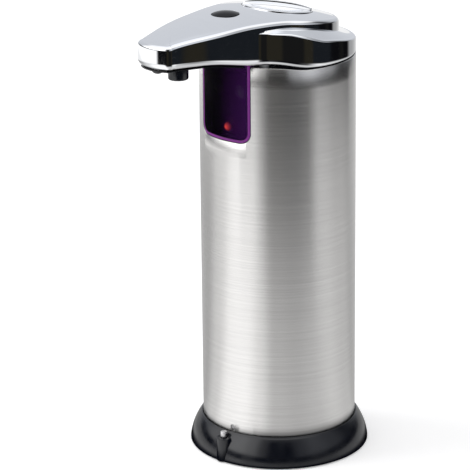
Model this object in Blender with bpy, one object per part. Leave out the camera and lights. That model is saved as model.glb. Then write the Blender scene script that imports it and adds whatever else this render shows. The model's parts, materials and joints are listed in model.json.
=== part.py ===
"""Automatic soap dispenser: a steel-sleeved body on a flared base, with a beaked two-tier chrome head.

Metres, +Z up. The origin is on the body's axis, on the surface that the dispenser stands on.
The front, where the beak and the sensor window are, faces -Y.
"""

import math

import bmesh
import bpy
import numpy as np
from mathutils import Vector

# Fits and small values shared by all the pieces
FIT_GAP = 0.0003
CUT_OVERRUN = 0.002
MERGE_DISTANCE = 0.000002
SMOOTH_ANGLE_DEG = 32
WIDE_SEGMENTS = 48
MIDDLE_SEGMENTS = 36
ROUND_SEGMENTS = 24
SMALL_SEGMENTS = 14
TINY_SEGMENTS = 8
ARC_STEPS = 3

# Body
SLEEVE_RADIUS = 0.033
SLEEVE_WALL = 0.0006
JOINT_HEIGHT = 0.1742
FOOT_CLEARANCE = 0.0005

# Head, in plan
BEAK_REACH = 0.0735
BEAK_TIP_HALF_WIDTH = 0.0099
BEAK_TIP_CORNER = 0.0037
BEAK_TIP_FACE_RADIUS = 0.016
BEAK_ROOT_TURN_DEG = 33.79
BEAK_ROOT_SINK = 0.00027
UPPER_TIER_INSET = 0.0074
COLLAR_FILLET_REACH = 0.003
UPPER_BLEND_DEG = 18

# Head, in side view
CROWN_REACH = 0.027
CROWN_RISE = 0.0213
FRONT_ARC_RADIUS = 0.204
REAR_ARC_RADIUS = 0.162
SIDE_ARC_RADIUS = 0.105
UNDERSIDE_START_INSET = 0.017
UNDERSIDE_RISE = 0.0081
UNDERSIDE_DROOP = 0.0022
UNDERSIDE_DROOP_SHARE = 0.45
SHOULDER_FRONT_RISE = 0.0156
SHOULDER_REAR_RISE = 0.0056
SHOULDER_START_REACH = 0.026
SHOULDER_END_REACH = 0.026
LEDGE_FRONT_RISE = 0.016
LEDGE_REAR_RISE = 0.0063
LEDGE_START_REACH = 0.012
LEDGE_END_REACH = 0.036
TOP_FILLET = 0.0015
SHOULDER_FILLET = 0.0006
BOTTOM_LIP = 0.0016
BEAK_STEP = 0.002
HEAD_WALL = 0.002
BEAK_SIDE_POINTS = 6
COLLAR_POINTS = 15
SPINE_FRONT_INSET = 0.0135
SPINE_REAR_REACH = 0.006

# Power button and its switch
BUTTON_REACH = 0.030
BUTTON_RADIUS = 0.0056
BUTTON_DOME = 0.0010
BUTTON_FLANGE_RADIUS = 0.0068
BUTTON_FLANGE = 0.0008
BUTTON_STEM_RADIUS = 0.0017
BUTTON_STEM = 0.0010
SWITCH_SIDE = 0.006
SWITCH_HEIGHT = 0.0032
PLUNGER_RADIUS = 0.0016
PLUNGER_HEIGHT = 0.0012
BUTTON_TRAVEL = 0.0008

# Control board
BOARD_THICKNESS = 0.0012
BOARD_HALF_WIDTH = 0.0078
BOARD_OFFSET = 0.0022
BOARD_FRONT_REACH = 0.042
BOARD_REAR_REACH = 0.0185
BOARD_POST_RADIUS = 0.0019
BOARD_POST_INSET = 0.0028
CONNECTOR_LENGTH = 0.007
CONNECTOR_WIDTH = 0.004
CONNECTOR_HEIGHT = 0.003
SMALL_SCREW_RADIUS = 0.0009
SMALL_SCREW_HEAD_RADIUS = 0.0018
SMALL_SCREW_HEAD = 0.0013

# Fill cap, its seal and the filler neck
CAP_RADIUS = 0.0148
CAP_FLANGE = 0.0026
CAP_CROWN_RADIUS = 0.13
CAP_PLUG_RADIUS = 0.011
CAP_PLUG_DEPTH = 0.0098
CAP_SCOOP_RADIUS = 0.0125
CAP_SCOOP_DEPTH = 0.0042
CAP_BAR_WIDTH = 0.005
CAP_BAR_TURN_DEG = 26
SEAL_THICKNESS = 0.001
SEAL_WIDTH = 0.0016
NECK_RADIUS = 0.014
NECK_WALL = 0.0023
NECK_DROP = 0.0042

# Tray, panel and lens under the beak
TRAY_THICKNESS = 0.0018
SPIGOT_DEPTH = 0.005
SPIGOT_WALL = 0.0015
SPIGOT_WEB = 0.0013
PANEL_THICKNESS = 0.0005
PANEL_INSET = 0.0012
PANEL_ROOT_GAP = 0.0013
LENS_INSET = 0.0055
LENS_RADIUS = 0.0025
LENS_DROP = 0.0017
LENS_PEG_RADIUS = 0.0008

# Nozzle and outlet tube
NOZZLE_BEHIND_LENS = 0.0112
NOZZLE_RADIUS = 0.004
NOZZLE_DROP = 0.0011
NOZZLE_NECK_RADIUS = 0.0027
NOZZLE_BORE_RADIUS = 0.0005
NOZZLE_MOUTH_RADIUS = 0.0027
NOZZLE_MOUTH_DEPTH = 0.0036
NOZZLE_ROUNDING = 0.0006
NOZZLE_SEGMENTS = 18
NIPPLE_RADIUS = 0.001
NIPPLE_LENGTH = 0.002
VALVE_THICKNESS = 0.0026
VALVE_SLIT_WIDTH = 0.0004
VALVE_SLIT_LENGTH = 0.003
TUBE_RADIUS = 0.002
TUBE_BORE_RADIUS = 0.0014
TUBE_BEND_RADIUS = 0.0033
TUBE_SLEEVE_GAP = 0.001477
TUBE_BEHIND_BOARD = 0.0006

# Sensor window and what is behind it
WINDOW_HALF_WIDTH = 0.0138
WINDOW_DROP = 0.032
WINDOW_RISE = 0.0048
WINDOW_CORNER = 0.0048
WINDOW_THICKNESS = 0.0016
WINDOW_SINK = 0.0001
FRAME_THICKNESS = 0.0011
FRAME_MARGIN = 0.0014
SENSOR_BOARD_HALF_WIDTH = 0.0115
SENSOR_BOARD_RISE = 0.0016
SENSOR_BOARD_HEIGHT = 0.0275
LED_STANDOFF = 0.0008
LED_RISE = 0.0035
LED_RADIUS = 0.0015
LED_LENGTH = 0.003
LED_FLANGE_RADIUS = 0.0019
LED_FLANGE = 0.0006
EYE_RISE = 0.0157
EYE_OFFSET = 0.0062
EYE_RADIUS = 0.0025
EYE_LENGTH = 0.0026
EYE_FLANGE_RADIUS = 0.0029

# Reservoir and its lid
TANK_CLEARANCE = 0.0008
TANK_WALL = 0.0016
TANK_BEHIND_TUBE = 0.0004
PUMP_HEADROOM = 0.0042
TANK_FLOOR = 0.002
TANK_RIM_DROP = 0.0082
TANK_ARC_POINTS = 27
LID_THICKNESS = 0.002
LID_BEAD = 0.0015
NOTCH_HALF_WIDTH = 0.011
NOTCH_HEIGHT = 0.012
STRAINER_RADIUS = 0.0042
STRAINER_HEIGHT = 0.0032
STRAINER_SLOT_WIDTH = 0.0009
STRAINER_PEG_RADIUS = 0.0012

# Gear pump
GEAR_TEETH = 12
GEAR_MODULE = 0.001
GEAR_PRESSURE_DEG = 20
GEAR_BACKLASH = 0.00022
GEAR_ROOT_CLEARANCE = 0.0002
GEAR_THICKNESS = 0.0051
GEAR_BORE_RADIUS = 0.0013
FLANK_POINTS = 3
SHAFT_RADIUS = 0.001
SHAFT_ENGAGEMENT = 0.005
PUMP_FLOOR = 0.0023
PUMP_WALL = 0.0026
PUMP_COVER = 0.0022
PUMP_EAR_RADIUS = 0.0026
PUMP_PORT_RADIUS = 0.0017
PUMP_PORT_OFFSET = 0.0044
INLET_STUB_RADIUS = 0.0026
INLET_STUB_BORE_RADIUS = 0.0015
OUTLET_BLOCK = 0.004
SHAFT_SEAL_RADIUS = 0.0029
SHAFT_SEAL_HEIGHT = 0.0013

# Motor and its mount
MOTOR_RADIUS = 0.010
MOTOR_LENGTH = 0.025
MOTOR_BOSS_RADIUS = 0.003
MOTOR_BOSS = 0.0011
MOUNT_THICKNESS = 0.0027

# Battery box, cells and contacts
BOX_CLEARANCE = 0.0006
BOX_FOOT_HEIGHT = 0.0042
BOX_TOP_WALL = 0.0024
CELL_RADIUS = 0.00515
CELL_LENGTH = 0.0433
CELL_NUB_RADIUS = 0.0019
CELL_NUB = 0.001
CELL_ROUNDING = 0.0004
CELL_OUTER_WALL = 0.00375
CELL_CLEARANCE = 0.0004
CONTACT_THICKNESS = 0.0005
CONTACT_WIDTH = 0.005
CONTACT_OVERHANG = 0.0025

# Base ring, battery cover and screw
BASE_FLARE = 0.0052
BASE_TOP_HEIGHT = 0.013
BASE_TOP_LIP = 0.0005
BASE_BULGE = 0.0008
GROOVE_DEPTH = 0.0028
SPIGOT_TOP_HEIGHT = 0.018
BASE_SPIGOT_WALL = 0.0015
COVER_MARGIN = 0.0036
COVER_THICKNESS = 0.0025
COVER_FLAT_DEPTH = 0.0043
COVER_SWING_GAP = 0.0007
PAD_MARGIN = 0.0036
PAD_THICKNESS = 0.0012
HINGE_STANDOFF = 0.0022
HINGE_BARREL_RADIUS = 0.0013
HINGE_BARREL_HALF_LENGTH = 0.005
HINGE_PIN_RADIUS = 0.0006
HINGE_PIN_HALF_LENGTH = 0.008
BOSS_AZIMUTH_DEG = 4.3
BOSS_RADIUS = 0.0031
BOSS_INSET = 0.0018
BOSS_HEIGHT = 0.0109
LUG_RADIUS = 0.0017
LOCK_SCREW_RADIUS = 0.0009
LOCK_SCREW_HEAD_RADIUS = 0.0014
LOCK_SCREW_HEAD = 0.0024
LOCK_SCREW_SLOT = 0.0005
PIP_AZIMUTH_DEG = 7.9
PIP_HEIGHT = 0.0150
PIP_RADIUS = 0.0010
PIP_LENGTH = 0.0012

# Leads
LEAD_RADIUS = 0.0007
POWER_LEAD_OFFSET = 0.0165
POWER_LEAD_CLEARANCE = 0.0009

# Places that follow from the sizes above
UP = Vector((0, 0, 1))
CROWN_HEIGHT = JOINT_HEIGHT + CROWN_RISE
NOZZLE_TIP_HEIGHT = JOINT_HEIGHT - NOZZLE_DROP
WINDOW_FOOT_HEIGHT = JOINT_HEIGHT - WINDOW_DROP
WINDOW_TOP_HEIGHT = JOINT_HEIGHT + WINDOW_RISE
SENSOR_BOARD_FOOT = WINDOW_FOOT_HEIGHT + SENSOR_BOARD_RISE
LED_HEIGHT = SENSOR_BOARD_FOOT + LED_RISE
EYE_HEIGHT = LED_HEIGHT + EYE_RISE
TANK_RIM_HEIGHT = JOINT_HEIGHT - TANK_RIM_DROP
SPINE_FRONT_REACH = BEAK_REACH - SPINE_FRONT_INSET
LENS_REACH = BEAK_REACH - LENS_INSET
NOZZLE_REACH = LENS_REACH - NOZZLE_BEHIND_LENS
SLEEVE_BORE = SLEEVE_RADIUS - SLEEVE_WALL
UNDERSIDE_START_REACH = SLEEVE_RADIUS - UNDERSIDE_START_INSET
BASE_RADIUS = SLEEVE_RADIUS + BASE_FLARE
BASE_BORE = SLEEVE_BORE - FIT_GAP - BASE_SPIGOT_WALL
BOX_RADIUS = BASE_BORE - FIT_GAP
BOX_SHOULDER_RADIUS = SLEEVE_BORE - BOX_CLEARANCE
COVER_RADIUS = BASE_RADIUS - COVER_MARGIN
COVER_FLAT_REACH = COVER_RADIUS - COVER_FLAT_DEPTH
PAD_RADIUS = COVER_RADIUS - PAD_MARGIN
HINGE_REACH = COVER_FLAT_REACH + HINGE_STANDOFF
BOSS_REACH = BASE_RADIUS - BOSS_INSET
TANK_RADIUS = SLEEVE_BORE - TANK_CLEARANCE
PANE_BORE = SLEEVE_RADIUS - WINDOW_SINK - WINDOW_THICKNESS
SENSOR_BOARD_REACH = PANE_BORE - LED_STANDOFF - LED_LENGTH - FIT_GAP
TUBE_RUN_REACH = SENSOR_BOARD_REACH - BOARD_THICKNESS - TUBE_BEHIND_BOARD - TUBE_RADIUS
TUBE_RUN_RADIUS = SLEEVE_BORE - TUBE_SLEEVE_GAP - TUBE_RADIUS
TUBE_RUN_OFFSET = math.sqrt(TUBE_RUN_RADIUS**2 - TUBE_RUN_REACH**2)
TANK_FLAT_REACH = TUBE_RUN_REACH - TUBE_RADIUS - TANK_BEHIND_TUBE
POWER_LEAD_REACH = TANK_FLAT_REACH + LEAD_RADIUS + POWER_LEAD_CLEARANCE
BEAK_CORNER_OFFSET = BEAK_TIP_HALF_WIDTH - BEAK_TIP_CORNER
BEAK_FACE_TURN = math.asin(BEAK_CORNER_OFFSET / (BEAK_TIP_FACE_RADIUS - BEAK_TIP_CORNER))
BEAK_SIDE_START = BEAK_REACH - BEAK_TIP_FACE_RADIUS + (
    BEAK_TIP_FACE_RADIUS - BEAK_TIP_CORNER
) * math.cos(BEAK_FACE_TURN)
BEAK_ROOT_RADIUS = SLEEVE_RADIUS - BEAK_ROOT_SINK
BEAK_ROOT_HALF_WIDTH = BEAK_ROOT_RADIUS * math.sin(math.radians(BEAK_ROOT_TURN_DEG))
BEAK_ROOT_REACH = BEAK_ROOT_RADIUS * math.cos(math.radians(BEAK_ROOT_TURN_DEG))
UPPER_TIER_RADIUS = SLEEVE_RADIUS - UPPER_TIER_INSET
PANEL_ROOT_REACH = SLEEVE_RADIUS + PANEL_ROOT_GAP
BEAK_SIDE_SLOPE_SHARE = (BEAK_ROOT_HALF_WIDTH - BEAK_TIP_HALF_WIDTH) / (
    BEAK_SIDE_START - BEAK_ROOT_REACH
)
SPIGOT_RADIUS = SLEEVE_BORE - FIT_GAP
COVER_TOP_HEIGHT = FOOT_CLEARANCE + COVER_THICKNESS
GEAR_PITCH_RADIUS = GEAR_MODULE * GEAR_TEETH / 2
GEAR_TIP_RADIUS = GEAR_PITCH_RADIUS + GEAR_MODULE
GEAR_CENTRES = GEAR_PITCH_RADIUS * 2
CELL_TOP = BOX_FOOT_HEIGHT + CELL_LENGTH + CELL_NUB
CONTACT_ROOM_TOP = CELL_TOP + FIT_GAP * 2 + CONTACT_THICKNESS
BOX_TOP_HEIGHT = CONTACT_ROOM_TOP + BOX_TOP_WALL
MOUNT_FOOT = BOX_TOP_HEIGHT + FIT_GAP
MOUNT_TOP = MOUNT_FOOT + MOUNT_THICKNESS
PUMP_FOOT = MOUNT_TOP + FIT_GAP
CHAMBER_FLOOR = PUMP_FOOT + PUMP_FLOOR
CHAMBER_RADIUS = GEAR_TIP_RADIUS + FIT_GAP
CHAMBER_TOP = CHAMBER_FLOOR + GEAR_THICKNESS + FIT_GAP * 2
PUMP_RADIUS = CHAMBER_RADIUS + PUMP_WALL
COVER_FOOT = CHAMBER_TOP + FIT_GAP
PUMP_TOP = COVER_FOOT + PUMP_COVER
TANK_FLOOR_HEIGHT = PUMP_TOP + PUMP_HEADROOM
PORT_X = GEAR_PITCH_RADIUS
MOTOR_TOP = BOX_TOP_HEIGHT - FIT_GAP
MOTOR_FOOT = MOTOR_TOP - MOTOR_LENGTH
TANK_BORE = TANK_RADIUS - TANK_WALL
LID_FOOT = TANK_RIM_HEIGHT + FIT_GAP
LID_TOP = LID_FOOT + LID_THICKNESS
CELL_CIRCLE_RADIUS = BOX_RADIUS - CELL_OUTER_WALL - CELL_CLEARANCE - CELL_RADIUS
CELL_STEP = CELL_CIRCLE_RADIUS * math.sqrt(1 / 2)
CELL_BORE_RADIUS = CELL_RADIUS + CELL_CLEARANCE


# Materials

COLOURS = {
    "chrome": ((0.78, 0.80, 0.82), 0.06, 1.0),
    "brushed_steel": ((0.60, 0.58, 0.55), 0.34, 1.0),
    "steel": ((0.62, 0.62, 0.62), 0.30, 1.0),
    "brass": ((0.70, 0.52, 0.24), 0.32, 1.0),
    "black_plastic": ((0.012, 0.013, 0.016), 0.38, 0.0),
    "black_gloss": ((0.008, 0.008, 0.010), 0.12, 0.0),
    "black_rubber": ((0.020, 0.020, 0.020), 0.75, 0.0),
    "window_tint": ((0.030, 0.006, 0.060), 0.05, 0.0),
    "red_lamp": ((0.90, 0.02, 0.02), 0.20, 0.0),
    "dark_lamp": ((0.02, 0.01, 0.03), 0.15, 0.0),
    "clear_lamp": ((0.55, 0.60, 0.75), 0.10, 0.0),
    "board_green": ((0.015, 0.110, 0.050), 0.45, 0.0),
    "milk_plastic": ((0.72, 0.74, 0.74), 0.40, 0.0),
    "grey_plastic": ((0.25, 0.26, 0.27), 0.45, 0.0),
    "silicone": ((0.62, 0.63, 0.62), 0.50, 0.0),
    "acetal_white": ((0.80, 0.79, 0.75), 0.38, 0.0),
    "cell_jacket": ((0.035, 0.060, 0.180), 0.30, 0.0),
    "red_wire": ((0.55, 0.03, 0.02), 0.45, 0.0),
    "grey_wire": ((0.30, 0.30, 0.30), 0.45, 0.0),
}


def material_named(name):
    """The Principled material of this name, made on first use."""
    found = bpy.data.materials.get(name)
    if found:
        return found
    colour, roughness, metallic = COLOURS[name]
    material = bpy.data.materials.new(name)
    material.use_nodes = True
    shader = material.node_tree.nodes["Principled BSDF"]
    shader.inputs["Base Color"].default_value = (*colour, 1)
    shader.inputs["Roughness"].default_value = roughness
    shader.inputs["Metallic"].default_value = metallic
    return material


# Making and joining solids


def finished(name, bm, material, parent=None):
    """A linked object with this bmesh, its normals facing out and its round faces smooth."""
    bmesh.ops.remove_doubles(bm, verts=bm.verts, dist=MERGE_DISTANCE)
    bmesh.ops.dissolve_degenerate(bm, edges=bm.edges, dist=MERGE_DISTANCE)
    bmesh.ops.recalc_face_normals(bm, faces=bm.faces)
    mesh = bpy.data.meshes.new(name)
    bm.to_mesh(mesh)
    bm.free()
    mesh.shade_smooth()
    mesh.set_sharp_from_angle(angle=math.radians(SMOOTH_ANGLE_DEG))
    made = bpy.data.objects.new(name, mesh)
    made.data.materials.append(material_named(material))
    made.parent = parent
    bpy.context.scene.collection.objects.link(made)
    return made


def turned(name, profile, material, segments=SMALL_SEGMENTS, parent=None):
    """A solid of revolution about Z from a closed outline of (radius, height) points."""
    bm = bmesh.new()
    verts = [bm.verts.new((radius, 0, height)) for radius, height in profile]
    edges = []
    for first, second in zip(verts, verts[1:] + verts[:1]):
        if first.co.x or second.co.x:
            edges.append(bm.edges.new((first, second)))
    bmesh.ops.spin(
        bm, geom=verts + edges, axis=(0, 0, 1), cent=(0, 0, 0), steps=segments,
        angle=math.tau, use_merge=True,
    )
    return finished(name, bm, material, parent)


def extruded(name, outline, foot, top, material, parent=None):
    """A prism along Z from a closed outline of (x, y) points."""
    bm = bmesh.new()
    face = bm.faces.new([bm.verts.new((x, y, foot)) for x, y in outline])
    raised = bmesh.ops.extrude_face_region(bm, geom=[face])["geom"]
    moved = [item for item in raised if isinstance(item, bmesh.types.BMVert)]
    bmesh.ops.translate(bm, verts=moved, vec=UP * (top - foot))
    return finished(name, bm, material, parent)


def lofted(name, rings, material, parent=None):
    """A closed solid whose skin runs from ring to ring. A first or last ring of one place closes itself."""
    bm = bmesh.new()
    loops = [[bm.verts.new(point) for point in ring] for ring in rings]
    for lower, upper in zip(loops, loops[1:]):
        count = len(lower)
        for i in range(count):
            j = (i + 1) % count
            bm.faces.new((lower[i], lower[j], upper[j], upper[i]))
    return finished(name, bm, material, parent)


def box(name, low, high, material, parent=None):
    """A block between two corners."""
    outline = [(low[0], low[1]), (high[0], low[1]), (high[0], high[1]), (low[0], high[1])]
    return extruded(name, outline, low[2], high[2], material, parent)


def hidden(tool):
    """Marks an object as a tool of a Boolean, so that it isn't a piece."""
    tool.hide_render = True
    tool.display_type = "WIRE"
    return tool


def boolean(target, tool, operation):
    """Adds an exact Boolean with this tool to the target."""
    modifier = target.modifiers.new(f"{operation.lower()}_{tool.name}", "BOOLEAN")
    modifier.operation = operation
    modifier.solver = "EXACT"
    modifier.object = hidden(tool)
    return target


def cut(target, *tools):
    for tool in tools:
        boolean(target, tool, "DIFFERENCE")
    return target


def joined(target, *tools):
    for tool in tools:
        boolean(target, tool, "UNION")
    return target


def drill(name, radius, foot, top, place=(0, 0), segments=SMALL_SEGMENTS, parent=None):
    """A plain cylinder along Z, mostly used as a cutter."""
    angles = [math.tau * i / segments for i in range(segments)]
    outline = [(radius * math.cos(a), radius * math.sin(a)) for a in angles]
    tool = extruded(name, outline, foot, top, "steel", parent)
    tool.location = (*place, 0)
    return tool


def arc_points(centre, radius, start_deg, end_deg, steps=ARC_STEPS):
    """Points of a round stretch, both ends included."""
    angles = np.radians(np.linspace(start_deg, end_deg, steps + 1))
    return [(centre[0] + radius * math.cos(a), centre[1] + radius * math.sin(a)) for a in angles]


def faced_forward(made, height, offset=0):
    """Turns a piece modelled along Z so that its +Z end faces the front."""
    made.rotation_euler = (math.radians(90), 0, 0)
    made.location = (offset, 0, height)
    return made


def at_azimuth(reach, azimuth_deg):
    """The place at this distance from the axis, turned from the front toward +X."""
    angle = math.radians(azimuth_deg)
    return (reach * math.sin(angle), -reach * math.cos(angle))


# The head's shape


def eased(value, start, end):
    """A smooth step from 0 at start to 1 at end."""
    t = min(max((value - start) / (end - start), 0), 1)
    return t * t * (3 - 2 * t)


def crown_height(x, y):
    """The outer top surface: an arc along the head, lower toward both sides."""
    along = y + CROWN_REACH
    radius = FRONT_ARC_RADIUS if along < 0 else REAR_ARC_RADIUS
    return CROWN_HEIGHT - along * along / (2 * radius) - x * x / (2 * SIDE_ARC_RADIUS)


def underside_height(y):
    """The head's lower edge: level round the collar, rising along the beak, then drooping at its tip."""
    share = min(max((-y - UNDERSIDE_START_REACH) / (BEAK_REACH - UNDERSIDE_START_REACH), 0), 1)
    droop = UNDERSIDE_DROOP * eased(share, UNDERSIDE_DROOP_SHARE, 1)
    return JOINT_HEIGHT + UNDERSIDE_RISE * (1 - (1 - share) ** 2) - droop


def lowest_underside(reach, radius):
    """The lower of the underside's heights at the front and at the rear of a round piece."""
    return min(underside_height(-reach - radius), underside_height(-reach + radius))


def shoulder_height(y):
    """The collar's outer rim, high beside the beak and low at the rear."""
    share = eased(y, -SHOULDER_START_REACH, SHOULDER_END_REACH)
    return JOINT_HEIGHT + SHOULDER_FRONT_RISE + (SHOULDER_REAR_RISE - SHOULDER_FRONT_RISE) * share


def ledge_height(y):
    """Where the collar's ledge meets the upper tier's wall."""
    share = eased(y, -LEDGE_START_REACH, LEDGE_END_REACH)
    return JOINT_HEIGHT + LEDGE_FRONT_RISE + (LEDGE_REAR_RISE - LEDGE_FRONT_RISE) * share


def beak_half_width(y):
    return BEAK_ROOT_HALF_WIDTH + (-y - BEAK_ROOT_REACH) * -BEAK_SIDE_SLOPE_SHARE


def side_line_radius(angle):
    """Distance from the axis to the beak's straight side, at this angle from the front."""
    at_axis = beak_half_width(0)
    return at_axis / (math.sin(angle) + BEAK_SIDE_SLOPE_SHARE * math.cos(angle))


ROOT_ANGLE = math.atan2(BEAK_ROOT_HALF_WIDTH, BEAK_ROOT_REACH)


def upper_radius(angle):
    """Distance from the axis to the upper tier's wall: the beak's side, then a blend into a circle."""
    if angle <= ROOT_ANGLE:
        return side_line_radius(angle)
    share = min((angle - ROOT_ANGLE) / math.radians(UPPER_BLEND_DEG), 1)
    extra = side_line_radius(ROOT_ANGLE) - UPPER_TIER_RADIUS
    return UPPER_TIER_RADIUS + extra * (1 - share) ** 2


def polar(radius, angle):
    return Vector((radius * math.sin(angle), -radius * math.cos(angle)))


def beak_half_outline():
    """The tip's curved face, its corner and the side of the beak, up to where the collar's fillet starts."""
    face_end_deg = math.degrees(BEAK_FACE_TURN) - 90
    face_centre = (0, -BEAK_REACH + BEAK_TIP_FACE_RADIUS)
    face = arc_points(face_centre, BEAK_TIP_FACE_RADIUS, -90, face_end_deg, 2)
    corner = arc_points((BEAK_CORNER_OFFSET, -BEAK_SIDE_START), BEAK_TIP_CORNER, face_end_deg, 0)
    points = [Vector(p) for p in face[:-1] + corner]
    side_end = BEAK_ROOT_REACH + COLLAR_FILLET_REACH
    reaches = np.linspace(BEAK_SIDE_START, side_end, BEAK_SIDE_POINTS)[1:]
    points += [Vector((beak_half_width(-reach), -reach)) for reach in reaches]
    return points


def collar_half_outlines(beak_end):
    """The collar's and the upper tier's outlines from the beak to the rear, point for point."""
    root = polar(SLEEVE_RADIUS, ROOT_ANGLE)
    fillet_end = ROOT_ANGLE + COLLAR_FILLET_REACH / SLEEVE_RADIUS
    landing = polar(SLEEVE_RADIUS, fillet_end)
    collar = [
        beak_end * (1 - s) ** 2 + root * (2 * s * (1 - s)) + landing * s * s
        for s in np.linspace(0, 1, 4)[1:]
    ]
    shares = np.linspace(0, 1, COLLAR_POINTS)[1:] ** 1.25
    collar += [polar(SLEEVE_RADIUS, fillet_end + (math.pi - fillet_end) * share) for share in shares]
    angles = [math.atan2(point.x, -point.y) for point in collar]
    upper = [polar(upper_radius(angle), angle) for angle in angles]
    return collar, upper


def mirrored_loop(half):
    """A closed loop from its +X half, whose two ends are on the axis of symmetry."""
    other = [Vector((-point.x, point.y)) for point in half[-2:0:-1]]
    return half + other


def inset(loop, distance):
    """The loop moved inward, with mitred corners."""
    moved = []
    for i, point in enumerate(loop):
        before = (point - loop[i - 1]).normalized()
        after = (loop[(i + 1) % len(loop)] - point).normalized()
        normal = Vector((-before.y - after.y, before.x + after.x))
        normal.normalize()
        half_cosine = max(normal.dot(Vector((-after.y, after.x))), 0.5)
        moved.append(point + normal * (distance / half_cosine))
    return moved


def drawn_to_spine(loop, share):
    """The loop drawn toward the line that runs along the head's middle."""
    moved = []
    for point in loop:
        y = min(max(point.y, -SPINE_FRONT_REACH), SPINE_REAR_REACH)
        moved.append(point.lerp(Vector((0, y)), share))
    return moved


def between(outer, inner, distance):
    """The outer loop moved this far toward the inner one, or all the way where they lie closer."""
    moved = []
    for far, near in zip(outer, inner):
        gap = (near - far).length
        moved.append(far.lerp(near, min(distance / gap, 1)) if gap > MERGE_DISTANCE else far.copy())
    return moved


def raised(loop, heights):
    """Points in space from a plan loop and one height for each point."""
    return [(point.x, point.y, height) for point, height in zip(loop, heights)]


def head_loops():
    """The plan outlines of the collar with the beak, and of the upper tier with the beak."""
    beak = beak_half_outline()
    collar, upper = collar_half_outlines(beak[-1])
    return mirrored_loop(beak + collar), mirrored_loop(beak + upper)


def crown_heights(loop, drop=0):
    return [crown_height(point.x, point.y) - drop for point in loop]


def underside_heights(loop, rise=0):
    return [underside_height(point.y) + rise for point in loop]


def head_cover():
    """The chrome cover: a two-tier skin outside, a parallel one inside, joined round the open bottom."""
    lower, upper = head_loops()
    filleted = inset(upper, TOP_FILLET)
    half_fillet = inset(upper, TOP_FILLET * (1 - math.sqrt(1 / 2)))
    wall_tops = crown_heights(filleted, TOP_FILLET)
    rims = [
        min(shoulder_height(point.y), top - BEAK_STEP) for point, top in zip(lower, wall_tops)
    ]
    ledges = []
    for point, rim, far, near in zip(upper, rims, lower, upper):
        on_beak = (far - near).length < SHOULDER_FILLET
        ledges.append(rim + SHOULDER_FILLET if on_beak else ledge_height(point.y))
    fillet_turn = TOP_FILLET * math.sqrt(1 / 2)
    outside = [
        raised(inset(lower, BOTTOM_LIP), underside_heights(lower)),
        raised(lower, underside_heights(lower, BOTTOM_LIP)),
        raised(lower, [rim - SHOULDER_FILLET for rim in rims]),
        raised(between(lower, upper, SHOULDER_FILLET), rims),
        raised(upper, ledges),
        raised(upper, wall_tops),
        raised(half_fillet, [top + fillet_turn for top in wall_tops]),
    ]
    for share in (0, 0.5, 1):
        loop = drawn_to_spine(filleted, share)
        outside.append(raised(loop, crown_heights(loop)))
    inner_lower = inset(lower, HEAD_WALL)
    inner_upper = inset(upper, HEAD_WALL)
    inside = [
        raised(inner_lower, underside_heights(lower)),
        raised(inner_lower, [rim - HEAD_WALL for rim in rims]),
        raised(inner_upper, [ledge - HEAD_WALL for ledge in ledges]),
    ]
    for share in (0, 0.6, 1):
        loop = drawn_to_spine(inner_upper, share)
        inside.append(raised(loop, crown_heights(loop, HEAD_WALL)))
    cover = lofted("head_cover", inside[::-1] + outside, "chrome")
    cap_cutter = drill(
        "cap_hole_cutter", CAP_RADIUS + FIT_GAP, -CAP_PLUG_DEPTH, CAP_PLUG_DEPTH,
        segments=MIDDLE_SEGMENTS, parent=cap_axis(),
    )
    button_cutter = drill(
        "button_hole_cutter", BUTTON_RADIUS + FIT_GAP, -CAP_PLUG_DEPTH, CAP_PLUG_DEPTH,
        segments=ROUND_SEGMENTS, parent=button_axis(),
    )
    return cut(cover, cap_cutter, button_cutter)


# Axes of the pieces that move along a slanted line


def axis_empty(name, place, tilt):
    """An empty whose Z is the line that a piece turns about or slides along."""
    found = bpy.data.objects.get(name)
    if found:
        return found
    empty = bpy.data.objects.new(name, None)
    empty.location = place
    empty.rotation_euler = (tilt, 0, 0)
    bpy.context.scene.collection.objects.link(empty)
    return empty


def crown_tilt(y):
    """The turn about X that lays an upright axis square to the crown at this place."""
    radius = FRONT_ARC_RADIUS if y + CROWN_REACH < 0 else REAR_ARC_RADIUS
    return -math.atan2(y + CROWN_REACH, radius)


def cap_axis():
    return axis_empty("cap_axis", (0, 0, crown_height(0, 0)), crown_tilt(0))


def button_axis():
    return axis_empty(
        "button_axis", (0, -BUTTON_REACH, crown_height(0, -BUTTON_REACH)), crown_tilt(-BUTTON_REACH)
    )


# Power button, switch and control board


def button_flange_top():
    """Under the button's axis, low enough to clear the crown where it curves down."""
    return -HEAD_WALL - FIT_GAP * 2


def button_stem_foot():
    return button_flange_top() - BUTTON_FLANGE - BUTTON_STEM


def power_button():
    flange_top = button_flange_top()
    flange_foot = flange_top - BUTTON_FLANGE
    crown = (BUTTON_RADIUS**2 + BUTTON_DOME**2) / (2 * BUTTON_DOME)
    dome = []
    for share in (0, 0.5, 0.9):
        radius = BUTTON_RADIUS * share
        dome.append((radius, BUTTON_DOME - crown + math.sqrt(crown * crown - radius * radius)))
    profile = dome + [
        (BUTTON_RADIUS, -BUTTON_DOME / 5),
        (BUTTON_RADIUS, flange_top),
        (BUTTON_FLANGE_RADIUS, flange_top),
        (BUTTON_FLANGE_RADIUS, flange_foot),
        (BUTTON_STEM_RADIUS, flange_foot),
        (BUTTON_STEM_RADIUS, button_stem_foot()),
        (0, button_stem_foot()),
    ]
    turned("power_button", profile, "black_gloss", ROUND_SEGMENTS, button_axis())


def board_top():
    """The control board's upper face, below the switch and its plunger."""
    axis_height = crown_height(0, -BUTTON_REACH)
    return axis_height + button_stem_foot() - PLUNGER_HEIGHT - SWITCH_HEIGHT - FIT_GAP


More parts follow.
